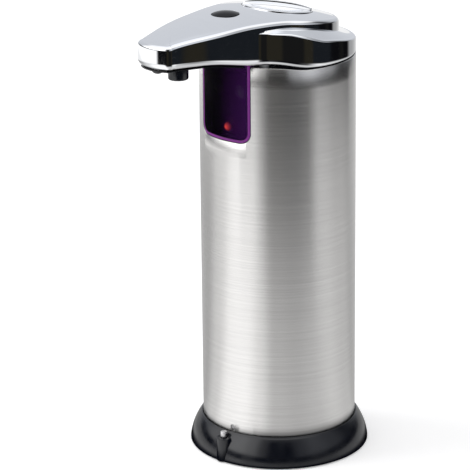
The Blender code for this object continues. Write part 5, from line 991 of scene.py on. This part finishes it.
def make_fill_cap(scene):
    """The fill cap with its grip bar, and its rubber seal."""
    head, body = scene.soap_head, scene.soap_body
    seal_height, seal_width, seal_round = 0.001, 0.0016, 0.0003
    matrix = crown_matrix(head, body, 0)
    lifted = matrix @ Matrix.Translation((0, 0, head.cap_proud))
    shown(placed(surface("fill_cap_shown", cap_surface(head)), lifted), "fill_cap")
    bar = surface("cap_grip_shown", bar_surface(head), sharp_deg=30)
    shown(placed(bar, lifted @ Matrix.Rotation(head.bar_turn, 4, "Z")), "fill_cap")
    top = -CAP_FLANGE - body.gap
    inner = head.cap_plug + body.gap
    outer, foot = inner + seal_width, top - seal_height
    outline = rounded_outline([(inner, foot), (outer, foot), (outer, top), (inner, top)], seal_round)
    shown(placed(turned("cap_seal_shown", outline), matrix), "cap_seal")


def make_power_button(scene):
    """The black domed button on its flange and stem."""
    head, body = scene.soap_head, scene.soap_body
    dome_share, edge_share, edge_top, edge_foot = 0.93, 0.985, 0.0001, 0.0003
    flange_radius, flange_height = 0.0068, 0.0008
    stem_radius, stem_height = 0.0017, 0.001
    radius, dome = head.button_radius, head.button_dome
    crown = (radius ** 2 + dome ** 2) / (2 * dome)
    reach = np.linspace(0, radius * dome_share, 14)
    over = np.stack([reach, dome - crown + np.sqrt(crown ** 2 - reach ** 2)], axis=1)
    edge = over[-1, 1]
    flange = -head.wall - body.gap * 2
    seat = flange - flange_height
    end = seat - stem_height
    below = [(radius * edge_share, edge - edge_top), (radius, edge - edge_foot), (radius, flange),
             (flange_radius, flange), (flange_radius, seat), (stem_radius, seat), (stem_radius, end),
             (0, end)]
    button = turned("power_button_shown", np.concatenate([over, below]))
    placed(button, crown_matrix(head, body, -head.button_reach))
    shown(button, "power_button", button_finish())


def make_underside_panel(scene):
    """The panel under the beak, with a bore for the nozzle: the cover's outline in front of the sleeve,
    drawn to the middle line by a share and put a little below the cover's lower edge, ring by ring."""
    head, body = scene.soap_head, scene.soap_body
    inside_cover, panel_root = 0.0012, 0.0343
    drill_foot, drill_top = 0.16, 0.2
    loop = inset(head_loops(head, body)[0], inside_cover)
    half = loop[(loop[:, 1] < -panel_root) & (loop[:, 0] >= 0)]
    half = half[np.argsort(half[:, 1], kind="stable")]
    outline = np.concatenate([half, half[:0:-1] * [-1, 1]])
    rings = []
    for share, drop in ((1, 0.0008), (0.02, 0.0008), (0, 0.0007), (0, 0.0004), (0.02, 0.0003), (1, 0.0003)):
        plan = outline * [1 - share, 1]
        rings.append(ring(plan, underside_height(head, body, plan[:, 1]) - drop))
    panel = surface("underside_panel_shown", np.stack(rings))
    bore = head.nozzle_radius + body.gap
    outline = [(0, drill_foot), (bore, drill_foot), (bore, drill_top), (0, drill_top)]
    drill = turned("nozzle_opening", outline, 64)
    combined(panel, moved(drill, y=-head.nozzle_reach))
    shown(sharpened(panel), "underside_panel")


def make_beak_lens(scene):
    """The small black dome under the beak's tip, with the peg that holds it."""
    head, body = scene.soap_head, scene.soap_body
    sink, dome_height, peg_radius, peg_height = 0.0011, 0.0017, 0.0008, 0.0024
    seat = lowest_underside(head, body, head.lens_reach, head.lens_radius) - sink
    turns = quarter(12)
    dome = np.stack([head.lens_radius * np.cos(turns), seat - dome_height * np.sin(turns)], axis=1)
    peg = [(0, seat + peg_height), (peg_radius, seat + peg_height), (peg_radius, seat)]
    lens = turned("beak_lens_shown", np.concatenate([peg, dome]), 64)
    shown(moved(lens, y=-head.lens_reach), "beak_lens")


def make_nozzle(scene):
    """The nozzle with its recessed mouth and its barb, and the slit valve in it."""
    head, body = scene.soap_head, scene.soap_body
    mouth, mouth_depth = 0.0027, 0.0036
    neck_rise, barb, barb_height, bore = 0.0021, 0.001, 0.0017, 0.0005
    shoulder = lowest_underside(head, body, head.nozzle_reach, head.nozzle_radius) - body.gap
    neck = float(underside_height(head, body, -head.nozzle_reach)) + neck_rise
    tip, radius = head.nozzle_tip, head.nozzle_radius
    corners = [(mouth, tip), (radius, tip), (radius, shoulder), (mouth, shoulder), (mouth, neck),
               (barb, neck), (barb, neck + barb_height), (bore, neck + barb_height),
               (bore, tip + mouth_depth), (mouth, tip + mouth_depth)]
    reaches = [0.0003, 0.0008, 0.0002, 0.0001, 0.0001, 0.0002, 0.0002, 0.0001, 0.0002, 0.0002]
    nozzle = turned("nozzle_shown", rounded_outline(corners, reaches))
    shown(moved(nozzle, y=-head.nozzle_reach), "nozzle")
    valve_radius, valve_tip, taper, valve_height = 0.0024, 0.0012, 0.0013, 0.0026
    valve_seat, slit_width, slit_length, beyond = 0.0033, 0.0004, 0.003, 0.002
    top = tip + valve_seat
    foot = top - valve_height
    corners = [(0, foot), (valve_tip, foot), (valve_radius, foot + taper), (valve_radius, top), (0, top)]
    valve = turned("nozzle_valve_shown", rounded_outline(corners, [0, 0.0004, 0.0004, 0.0003, 0]), 64)
    slit = block("slit", (-slit_width / 2, -slit_length / 2, foot - beyond),
                 (slit_width / 2, slit_length / 2, top + beyond))
    combined(valve, slit)
    shown(moved(sharpened(valve), y=-head.nozzle_reach), "nozzle_valve")


# The body's shape


def window_foot(body, x, margin=0.0):
    """Height of the window's lower edge over x: level, with a quarter circle at each end."""
    half = body.window_half + margin
    corner = body.window_corner + margin
    into = np.clip(np.abs(x) - (half - corner), 0, corner)
    return body.window_foot - margin + corner - np.sqrt(corner * corner - into * into)


def sleeve_surface(head, body):
    """The tube as rows of (outer, inner) points over the turn about Z. Its top follows a share of the head's
    lower edge, and drops to the window's outline where x lies within the window."""
    window_points, other_points, side_gap, soft = 81, 240, 0.001, 0.00012
    half = math.asin(body.window_half / body.radius)
    inside = half * np.sin(np.linspace(-math.pi / 2, math.pi / 2, window_points))
    outside = np.linspace(half + side_gap, math.tau - half - side_gap, other_points)
    turns = np.concatenate([inside, outside])
    x, y = body.radius * from_front(turns).T
    top = body.joint + (underside_height(head, body, y) - body.joint) * body.top_share - body.gap
    top = np.where(np.arange(len(turns)) < window_points, window_foot(body, x), top)
    foot = body.base_top - body.groove + body.gap
    outer, inner = body.radius, body.radius - body.sleeve_wall
    shares = np.linspace(0, 1, 20)
    rows = [(outer, foot + soft + (top - soft * 2 - foot) * share) for share in shares]
    rows += [(outer - soft, top), (inner + soft, top)]
    rows += [(inner, foot + soft + (top - soft * 2 - foot) * share) for share in shares[::-1]]
    rows += [(inner + soft, foot), (outer - soft, foot)]
    return np.stack([ring(radius * from_front(turns), z) for radius, z in rows])


def make_sleeve(scene):
    """The brushed steel sleeve, open at the window and drilled for the pip, and the pip."""
    head, body = scene.soap_head, scene.soap_body
    clearance, below_surface, pip_root = 0.0001, 0.00005, 0.0004
    sharp_deg, drill_length = 50, 0.06
    sleeve = surface("steel_sleeve_shown", sleeve_surface(head, body), sharp_deg, rows_close=True)
    bore, pip_radius = body.pip_radius + clearance, body.pip_radius - clearance
    drill = turned("pip_hole", [(0, 0), (bore, 0), (bore, drill_length), (0, drill_length)], 48)
    outward = (Matrix.Translation((0, 0, body.pip_height)) @ Matrix.Rotation(body.pip_turn, 4, "Z")
               @ Matrix.Rotation(math.pi / 2, 4, "X"))
    combined(sleeve, placed(drill, outward))
    shown(sharpened(sleeve, sharp_deg), "steel_sleeve")
    start = body.radius - body.sleeve_wall - body.gap - pip_root
    end = body.radius - below_surface
    outline = rounded_outline([(0, start), (pip_radius, start), (pip_radius, end), (0, end)],
                              [0, 0.0001, 0.0004, 0])
    shown(placed(turned("locating_pip_shown", outline, 48), outward), "locating_pip")


def pane_surface(head, body):
    """The pane: a grid over x and height on the tube's own curve, and a second one behind it. Its lower edge
    follows the window's outline and its upper edge the head's lower edge."""
    half = body.window_half - body.gap
    x = half * np.sin(np.linspace(-math.pi / 2, math.pi / 2, 121))
    low, high = 0.06, 0.97
    up = np.concatenate([np.linspace(0, low, 8), np.linspace(low, high, 40)[1:], [1.0]])
    outer = body.radius - body.pane_sink
    layers = []
    for radius, order in ((outer, up), (outer - body.pane, up[::-1])):
        y = -np.sqrt(radius * radius - x * x)
        foot = window_foot(body, x, -body.gap)
        top = underside_height(head, body, y) - body.gap
        z = foot + (top - foot) * order[:, None]
        layers.append(np.stack([np.broadcast_to(x, z.shape), np.broadcast_to(y, z.shape), z], axis=2))
    return np.concatenate(layers)


def rim_surface(head, body):
    """The pane's polished edge: a low arch drawn along the window's outline, from one upper end round the
    lower corners to the other, and bent onto the tube's curve."""
    side_points, corner_points, foot_points, arch_points = 19, 24, 12, 20
    arch, sink = 0.00018, 0.00004
    half, corner = body.window_half - body.gap, body.window_corner - body.gap
    foot = body.window_foot + body.gap
    turns = np.linspace(math.pi, math.pi * 1.5, corner_points)
    left = np.stack([corner * np.cos(turns) + corner - half, foot + corner + corner * np.sin(turns)], axis=1)
    top = float(underside_height(head, body, -math.sqrt(body.radius ** 2 - half ** 2))) - body.gap
    up = np.linspace(top, foot + corner, side_points + 1)[:-1]
    side = np.stack([np.full(side_points, -half), up], axis=1)
    across = np.linspace(corner - half, half - corner, foot_points + 2)[1:-1]
    level = np.stack([across, np.full(foot_points, foot)], axis=1)
    path = np.concatenate([side, left, level, left[::-1] * [-1, 1], side[::-1] * [-1, 1]])
    along = np.gradient(path, axis=0)
    along /= np.linalg.norm(along, axis=1, keepdims=True)
    inward = np.stack([-along[:, 1], along[:, 0]], axis=1)
    turns = np.linspace(0, math.tau, arch_points, endpoint=False)
    aside = body.rim_width / 2 * (1 + np.cos(turns))
    plan = path[None] + inward[None] * aside[:, None, None]
    radius = body.radius - body.pane_sink + arch * np.sin(turns)[:, None] - sink
    x = plan[..., 0]
    points = np.stack([x, -np.sqrt(radius ** 2 - x ** 2), plan[..., 1]], axis=2).transpose(1, 0, 2)
    ends = [end.mean(axis=1, keepdims=True).repeat(arch_points, axis=1) for end in (points[:1], points[-1:])]
    return np.concatenate([ends[0], points, ends[1]])


def make_window(scene):
    """The tinted pane, its polished edge and the frame behind it."""
    head, body = scene.soap_head, scene.soap_body
    sharp_deg = 45
    points = pane_surface(head, body)
    pane = surface("sensor_window_shown", points, sharp_deg, ring_closes=False, rows_close=True)
    shown(sharpened(pane, sharp_deg, ends_open=True), "sensor_window")
    rim = surface("window_rim", rim_surface(head, body))
    shown(rim, "sensor_window", rim_finish(scene.soap_looks))
    smooth_copy("window_frame")


def lamp_surface(name, radius, length_, flange, start, place):
    """A round-nosed lamp on a flange, turned to face the front."""
    flange_end = start + 0.0006
    turns = quarter(12)
    nose = np.stack([radius * np.cos(turns), start + length_ - radius + radius * np.sin(turns)], axis=1)
    foot = [(0, start), (flange, start), (flange, flange_end), (radius, flange_end)]
    lamp = turned(name, np.concatenate([foot, nose]), 64)
    return placed(lamp, Matrix.Translation(place) @ Matrix.Rotation(math.pi / 2, 4, "X"))


def make_sensor(scene):
    """The upright sensor board with its light and its two eyes."""
    body = scene.soap_body
    board_thickness, board_edge = 0.0012, 0.00015
    light_radius, light_flange = 0.0020, 0.0023
    eye_radius, eye_length, eye_flange = 0.0025, 0.0026, 0.0029
    front = body.board_reach + body.gap
    low = (-body.board_half, -body.board_reach, body.board_foot)
    high = (body.board_half, board_thickness - body.board_reach, body.board_foot + body.board_height)
    board = softened(block("sensor_board_shown", low, high), board_edge)
    shown(board, "sensor_board", glow_board_finish((0, -body.board_reach, body.lamp_height)))
    place = (0, 0, body.lamp_height)
    light_length = body.lamp_nose - front
    light = lamp_surface("indicator_light_shown", light_radius, light_length, light_flange, front, place)
    shown(light, "indicator_light")
    for node, side in (("infrared_emitter", 1), ("infrared_receiver", -1)):
        place = (side * body.eye_offset, 0, body.eye_height)
        shown(lamp_surface(node + "_shown", eye_radius, eye_length, eye_flange, front, place), node)


def skirt_outline(body):
    """The flare's outer face from the foot up: a straight line plus a parabola that bulges outward."""
    foot = np.array([body.base_radius, body.foot])
    top = np.array([body.radius + body.gap + body.base_lip, body.base_top])
    along = top - foot
    outward = np.array([along[1], -along[0]]) / np.linalg.norm(along)
    share = np.linspace(0, 1, 40)[:, None]
    return foot + along * share + outward * (body.bulge * 4 * share * (1 - share))


def slot_outline(body, radius, inner_reach):
    """A strip with a round outer end, turned to the boss's place."""
    turns = np.linspace(-math.pi, 0, 33)
    end = np.stack([radius * np.cos(turns), radius * np.sin(turns) - body.boss_reach], axis=1)
    outline = np.concatenate([end, [(radius, -inner_reach), (-radius, -inner_reach)]])
    c, s = math.cos(body.boss_turn), math.sin(body.boss_turn)
    return outline @ np.array([[c, s], [-s, c]])


def cut_circle(radius, flat):
    """A circle whose rear is cut straight at this reach."""
    circle = radius * from_front(np.linspace(0, math.tau, 180, endpoint=False))
    return np.minimum(circle, [math.inf, flat])


def make_base_ring(scene):
    """The flared ring with its screw boss, open below for the battery cover and its hinge."""
    body = scene.soap_body
    below, cover_play = -0.002, 0.0007
    boss_root, boss_edge = 0.0015, 0.0004
    pocket_half, pocket_front, pocket_rear, pocket_top = 0.0053, 0.002, 0.0016, 0.0029
    lug_half, lug_reach = 0.002, 0.002
    outer, inner = body.radius + body.gap, body.radius - body.sleeve_wall - body.gap
    bore = inner - body.spigot_wall
    groove = body.base_top - body.groove
    ceiling = body.foot + body.cover_thickness + body.gap
    skirt = skirt_outline(body)
    lip = rounded_outline([(body.base_radius, body.foot), tuple(skirt[-1]), (outer, body.base_top),
                           (outer, groove), (inner, groove), (inner, body.spigot_top),
                           (bore, body.spigot_top), (bore, body.foot)],
                          [0.0003, 0.0003, 0.00015, 0.0001, 0.0001, 0.0003, 0.0003, 0.0001])
    foot_points = 6
    outline = np.concatenate([lip[:foot_points], skirt[2:-2], lip[foot_points:]])
    base = turned("base_ring_shown", outline, 256)
    boss = slot_outline(body, body.boss_radius, body.radius + boss_root)
    combined(base, prism("boss", boss, body.foot, body.boss_height, boss_edge), "UNION")
    opening = cut_circle(body.cover_radius + body.gap, body.cover_flat + cover_play)
    combined(base, prism("opening", opening, below, ceiling))
    low = (-pocket_half, body.cover_flat - pocket_front, below)
    high = (pocket_half, body.hinge_reach + pocket_rear, body.foot + pocket_top)
    combined(base, block("pocket", low, high))
    lug = slot_outline(body, lug_half, body.cover_radius - lug_reach)
    combined(base, prism("lug", lug, below, ceiling))
    shown(sharpened(base), "base_ring")


def make_lock_screw(scene):
    """The slotted screw on the boss."""
    body = scene.soap_body
    shank, foot = 0.0009, 0.0015
    slot_half, slot_width, slot_depth, above = 0.003, 0.0005, 0.0006, 0.002
    seat = body.boss_height + body.gap
    top = seat + body.screw_head
    corners = [(0, foot), (shank, foot), (shank, seat), (body.screw_radius, seat), (body.screw_radius, top),
               (0, top)]
    outline = rounded_outline(corners, [0, 0.0002, 0.00005, 0.0001, 0.00045, 0])
    screw = turned("lock_screw_shown", outline, 64)
    combined(screw, block("slot", (-slot_half, -slot_width / 2, top - slot_depth),
                          (slot_half, slot_width / 2, top + above)))
    x, y = body.boss_reach * from_front(body.boss_turn)
    shown(moved(sharpened(screw), x, y), "lock_screw")


def make_grip_pad(scene):
    """The pad under the battery cover: rings about its middle whose foot is a cosine wave over the share of
    the radius, and a rounded rim."""
    body = scene.soap_body
    waves, wave_height, edge, from_flat = 14, 0.00018, 0.0002, 0.0012
    first, last = 0.02, 0.985
    outline = cut_circle(body.pad_radius, body.cover_flat - from_flat)
    inner = np.concatenate([[0], np.linspace(first, last, 150)])
    shares = np.concatenate([inner, [1.0, 1.0, last, 0]])
    foot = wave_height * (1 - np.cos(inner * math.tau * waves)) * (inner < last)
    rim = [edge, body.pad_thickness - edge, body.pad_thickness, body.pad_thickness]
    pad = surface("grip_pad_shown", drawn_in(outline, shares, np.concatenate([foot, rim])))
    shown(pad, "grip_pad")


# Studio


def eased_range(tree, value, start, end):
    """0 where the value is at the start, 1 at the end, with a smooth step between."""
    return spread(tree, value, 0, 1, start, end, "SMOOTHSTEP")


def turn_ramp(tree, turn, stops):
    """Colours placed by their turn in degrees, which is 0 toward the camera. A number stands for a grey."""
    ramp = node_of(tree, "ValToRGB")
    ramp.color_ramp.interpolation = "EASE"
    elements = ramp.color_ramp.elements
    elements.remove(elements[-1])
    for index, (degrees, value) in enumerate(stops):
        place = degrees / 360 + 0.5
        element = elements.new(place) if index else elements[0]
        element.position = place
        element.color = (*value, 1) if isinstance(value, tuple) else (value, value, value, 1)
    share = math_node(tree, "ADD", math_node(tree, "DIVIDE", turn, math.tau), 0.5)
    return feed(tree, ramp, Fac=share).outputs["Color"]


def blue(value):
    """A pale blue of this brightness."""
    return (value * 0.94, value * 0.97, value * 1.03)


def card_material(name):
    """(material, tree, emission, turn): a lit card, and the turn about Z that its colour follows, which is
    0 toward the camera."""
    material, tree, emission = blank_tree(name, "Emission", "Emission")
    half = math.sqrt(0.5)
    toward = vector_math(tree, "DOT_PRODUCT", (half, -half, 0))
    aside = vector_math(tree, "DOT_PRODUCT", (half, half, 0))
    return material, tree, emission, math_node(tree, "ARCTAN2", aside, toward)


def reflection_card(name, points, paint):
    """A stage piece that only mirrors and gloss see, in the colour that paint makes of its tree and turn."""
    made = surface(name, points)
    material, tree, emission, turn = card_material(name)
    feed(tree, emission, Color=paint(tree, turn))
    made.data.materials.append(material)
    made.visible_camera = False
    made.visible_diffuse = False
    made.visible_shadow = False
    made.visible_transmission = True


def floor_paint(tree, turn):
    """Light near the object and on the left, and dark with dim olive and cool strips further off in front
    and on the right, in rings by the distance from the axis. The white on the left ends sooner in the
    outermost ring, and a painted contact shadow makes the card dark where the object touches the floor."""
    black = tuple(bpy.context.scene.soap_looks.card_dark)
    olive, cool, dim, white = (0.020, 0.018, 0.013), (0.010, 0.012, 0.015), 0.009, 0.95
    near = turn_ramp(tree, turn, [(-180, 0.60), (-125, 0.48), (-95, 0.80), (-70, 1.20), (-45, 1.25),
                                  (-25, 1.0), (-5, 0.68), (25, 0.60), (45, 0.64), (75, 0.78), (105, 0.66),
                                  (130, 0.50), (180, 0.60)])
    middle = turn_ramp(tree, turn, [(-180, 0.5), (-120, 0.36), (-88, 0.72), (-62, 1.2), (-36, 1.2),
                                    (-12, 0.03), (5, black), (28, black), (40, 0.08), (62, white),
                                    (95, 0.72), (130, 0.55), (180, 0.7)])
    strips = [(-18, black), (-12, olive), (4, olive), (10, dim), (36, dim), (41, olive), (50, olive),
              (54, cool), (78, cool), (86, black), (96, black), (106, dim), (113, black), (120, black),
              (130, 0.36), (180, white)]
    far = turn_ramp(tree, turn, [(-180, white), (-38, white), (-25, black)] + strips)
    edge = turn_ramp(tree, turn, [(-180, white), (-130, 1.2), (-60, 1.2), (-51, black)] + strips)
    reach = vector_math(tree, "LENGTH")
    # Painted shadow: the card is dark where the object touches the floor, standing for its contact shadow in
    # reflections.
    near_with_painted_shadow = mixed(tree, eased_range(tree, reach, 0.042, 0.054), black, near)
    close = mixed(tree, eased_range(tree, reach, 0.26, 0.44), near_with_painted_shadow, middle)
    beyond = mixed(tree, eased_range(tree, reach, 0.70, 0.72), far, edge)
    return mixed(tree, eased_range(tree, reach, 0.55, 0.62), close, beyond)


def make_floor():
    """The plain pale floor, and just over it the card that reflections see."""
    segments, rings, near, far, lift = 96, 24, 0.05, 6, 0.0001
    turns = np.linspace(0, math.tau, segments, endpoint=False)
    radii = np.concatenate([[0], np.geomspace(near, far, rings)])
    points = revolved(np.stack([radii, np.zeros_like(radii)], axis=1), turns)
    floor = surface("studio_floor", points)
    material, tree, shader = blank_material("studio_floor")
    feed(tree, shader, Roughness=1, Specular_IOR_Level=0, Base_Color=(0.93, 0.93, 0.94),
         Emission_Color=(1, 1, 1), Emission_Strength=0.35)
    floor.data.materials.append(material)
    floor.visible_glossy = False
    reflection_card("reflection_floor", points + [0, 0, lift], floor_paint)


def dome_paint(tree, turn):
    """A soft grey-blue wall behind. In front it is dark at the horizon, with light low on the left and a
    paler patch on the right, and bright overall higher up."""
    horizon = turn_ramp(tree, turn, [(-180, blue(0.71)), (-150, blue(0.6)), (-125, 0.01), (100, 0.01),
                                     (125, 0.03), (150, blue(0.6)), (180, blue(0.71))])
    low = turn_ramp(tree, turn, [(-180, blue(0.71)), (-125, blue(0.66)), (-98, 1.5), (-57, 2.3), (-38, 1.6),
                                 (-23, 0.5), (-11, 0.02), (12, 0.01), (30, blue(0.4)), (50, blue(0.75)),
                                 (80, blue(0.45)), (108, blue(0.08)), (145, blue(0.6)), (180, blue(0.71))])
    high = turn_ramp(tree, turn, [(-180, blue(1.1)), (-110, 1.1), (-70, 1.25), (70, 1.25), (110, 1.1),
                                  (180, blue(1.1))])
    height = object_axis(tree, "Z")

    def rising(start_deg, end_deg):
        """0 up to the first angle of rise and 1 from the second."""
        start, end = (DOME_RADIUS * math.sin(math.radians(rise)) for rise in (start_deg, end_deg))
        return eased_range(tree, height, start, end)

    return mixed(tree, rising(40, 56), mixed(tree, rising(7, 13), horizon, low), high)


def make_surroundings():
    """A wide dome that only reflections see, from a little below the floor to straight above."""
    segments, rings, lowest_turn = 96, 40, -0.12
    turns = np.linspace(0, math.tau, segments, endpoint=False)
    rise = np.linspace(lowest_turn, math.pi / 2, rings)
    outline = DOME_RADIUS * np.stack([np.cos(rise), np.sin(rise)], axis=1)
    reflection_card("reflection_dome", revolved(outline, turns), dome_paint)


def make_camera(scene):
    """The photograph's view: from the front right, a little above, looking down at the body's middle."""
    turn_deg, distance, height = 45, 1.1217, 0.4704
    data = bpy.data.cameras.new("camera")
    data.lens = 211.81
    data.sensor_width = 36
    data.clip_end = 40
    camera = bpy.data.objects.new("camera", data)
    scene.collection.objects.link(camera)
    matrix = Matrix.Rotation(math.radians(turn_deg), 4, "Z") @ Matrix.Translation((0, -distance, height))
    for degrees, axis in ((71.39, "X"), (-0.27, "Z"), (0.896, "Y")):
        matrix = matrix @ Matrix.Rotation(math.radians(degrees), 4, axis)
    camera.matrix_world = matrix
    scene.camera = camera


def make_light(scene):
    """A white surround, a little dimmer as light than as it is seen, and a soft lamp above on the left."""
    world = bpy.data.worlds.new("studio")
    scene.world = world
    world.use_nodes = True
    tree = world.node_tree
    rays = node_of(tree, "LightPath").outputs
    mirrored_or_through = math_node(tree, "MAXIMUM", rays["Is Glossy Ray"], rays["Is Transmission Ray"])
    seen = math_node(tree, "MAXIMUM", rays["Is Camera Ray"], mirrored_or_through)
    strength = spread(tree, seen, 0.72, 1.0, from_low=0, from_high=1)
    feed(tree, tree.nodes["Background"], Color=(1, 1, 1), Strength=strength)
    data = bpy.data.lights.new("key", "AREA")
    data.shape = "DISK"
    data.size = 0.9
    data.energy = 9
    lamp = bpy.data.objects.new("key", data)
    scene.collection.objects.link(lamp)
    place, aim = Vector((-0.75, -0.75, 1.35)), Vector((0, 0, 0.08))
    turn = (aim - place).to_track_quat("-Z", "Y").to_matrix().to_4x4()
    lamp.matrix_world = Matrix.Translation(place) @ turn
    lamp.visible_glossy = False
    scene.view_settings.view_transform = "Standard"


# Operators


class PieceBuilder:
    """What all the building operators share."""

    bl_options = {"REGISTER", "UNDO"}


class SOAP_OT_head_cover(PieceBuilder, bpy.types.Operator):
    """Builds the chrome two-tier cover with its cap and button openings"""

    bl_idname = "soap.head_cover"
    bl_label = "Head cover"

    def execute(self, context):
        make_head_cover(context.scene)
        return {"FINISHED"}


class SOAP_OT_fill_cap(PieceBuilder, bpy.types.Operator):
    """Builds the fill cap with its finger scoops and grip bar, and its seal"""

    bl_idname = "soap.fill_cap"
    bl_label = "Fill cap"

    def execute(self, context):
        make_fill_cap(context.scene)
        return {"FINISHED"}


class SOAP_OT_power_button(PieceBuilder, bpy.types.Operator):
    """Builds the domed power button"""

    bl_idname = "soap.power_button"
    bl_label = "Power button"

    def execute(self, context):
        make_power_button(context.scene)
        return {"FINISHED"}


class SOAP_OT_beak_underside(PieceBuilder, bpy.types.Operator):
    """Builds the panel, the small dome and the tray under the beak"""

    bl_idname = "soap.beak_underside"
    bl_label = "Beak underside"

    def execute(self, context):
        make_underside_panel(context.scene)
        make_beak_lens(context.scene)
        smooth_copy("head_tray")
        return {"FINISHED"}


class SOAP_OT_nozzle(PieceBuilder, bpy.types.Operator):
    """Builds the nozzle and its valve"""

    bl_idname = "soap.nozzle"
    bl_label = "Nozzle"

    def execute(self, context):
        make_nozzle(context.scene)
        return {"FINISHED"}


class SOAP_OT_sleeve(PieceBuilder, bpy.types.Operator):
    """Builds the brushed sleeve and the locating pip"""

    bl_idname = "soap.sleeve"
    bl_label = "Sleeve"

    def execute(self, context):
        make_sleeve(context.scene)
        return {"FINISHED"}


class SOAP_OT_window(PieceBuilder, bpy.types.Operator):
    """Builds the sensor window, its polished edge and its frame"""

    bl_idname = "soap.window"
    bl_label = "Sensor window"

    def execute(self, context):
        make_window(context.scene)
        return {"FINISHED"}


class SOAP_OT_sensor(PieceBuilder, bpy.types.Operator):
    """Builds the sensor board, its light and its eyes"""

    bl_idname = "soap.sensor"
    bl_label = "Sensor"

    def execute(self, context):
        make_sensor(context.scene)
        return {"FINISHED"}


class SOAP_OT_base(PieceBuilder, bpy.types.Operator):
    """Builds the flared base ring and the lock screw"""

    bl_idname = "soap.base"
    bl_label = "Base"

    def execute(self, context):
        make_base_ring(context.scene)
        make_lock_screw(context.scene)
        return {"FINISHED"}


class SOAP_OT_battery_cover(PieceBuilder, bpy.types.Operator):
    """Builds the battery cover, its hinge pin and its grip pad"""

    bl_idname = "soap.battery_cover"
    bl_label = "Battery cover"

    def execute(self, context):
        smooth_copy("battery_cover", bevel=0.0002)
        smooth_copy("hinge_pin")
        make_grip_pad(context.scene)
        return {"FINISHED"}


class SOAP_OT_inner_pieces(PieceBuilder, bpy.types.Operator):
    """Builds the pieces inside the housing from the frame's own forms"""

    bl_idname = "soap.inner_pieces"
    bl_label = "Inner pieces"

    def execute(self, context):
        made = {piece.name for piece in bpy.data.objects}
        for node in frame["nodes"]:
            if node + "_shown" not in made:
                smooth_copy(node)
        return {"FINISHED"}


class SOAP_OT_studio(PieceBuilder, bpy.types.Operator):
    """Builds the floor, the surroundings, the camera and the light"""

    bl_idname = "soap.studio"
    bl_label = "Studio"

    def execute(self, context):
        make_floor()
        make_surroundings()
        make_camera(context.scene)
        make_light(context.scene)
        return {"FINISHED"}


BUILDERS = (SOAP_OT_head_cover, SOAP_OT_fill_cap, SOAP_OT_power_button, SOAP_OT_beak_underside,
            SOAP_OT_nozzle, SOAP_OT_sleeve, SOAP_OT_window, SOAP_OT_sensor, SOAP_OT_base,
            SOAP_OT_battery_cover, SOAP_OT_inner_pieces, SOAP_OT_studio)


class SOAP_PT_panel(bpy.types.Panel):
    """Lists the dispenser's builders"""

    bl_idname = "SOAP_PT_panel"
    bl_label = "Soap dispenser"
    bl_space_type = "VIEW_3D"
    bl_region_type = "UI"
    bl_category = "Dispenser"

    def draw(self, context):
        for builder in BUILDERS:
            self.layout.operator(builder.bl_idname)


CLASSES = (SOAP_PG_head, SOAP_PG_body, SOAP_PG_looks, *BUILDERS, SOAP_PT_panel)


def register():
    for cls in CLASSES:
        bpy.utils.register_class(cls)
    bpy.types.Scene.soap_head = PointerProperty(type=SOAP_PG_head)
    bpy.types.Scene.soap_body = PointerProperty(type=SOAP_PG_body)
    bpy.types.Scene.soap_looks = PointerProperty(type=SOAP_PG_looks)


def unregister():
    del bpy.types.Scene.soap_looks
    del bpy.types.Scene.soap_body
    del bpy.types.Scene.soap_head
    for cls in reversed(CLASSES):
        bpy.utils.unregister_class(cls)


def main():
    register()
    for builder in BUILDERS:
        group, name = builder.bl_idname.split(".")
        getattr(getattr(bpy.ops, group), name)()


if __name__ == "__main__":
    main()
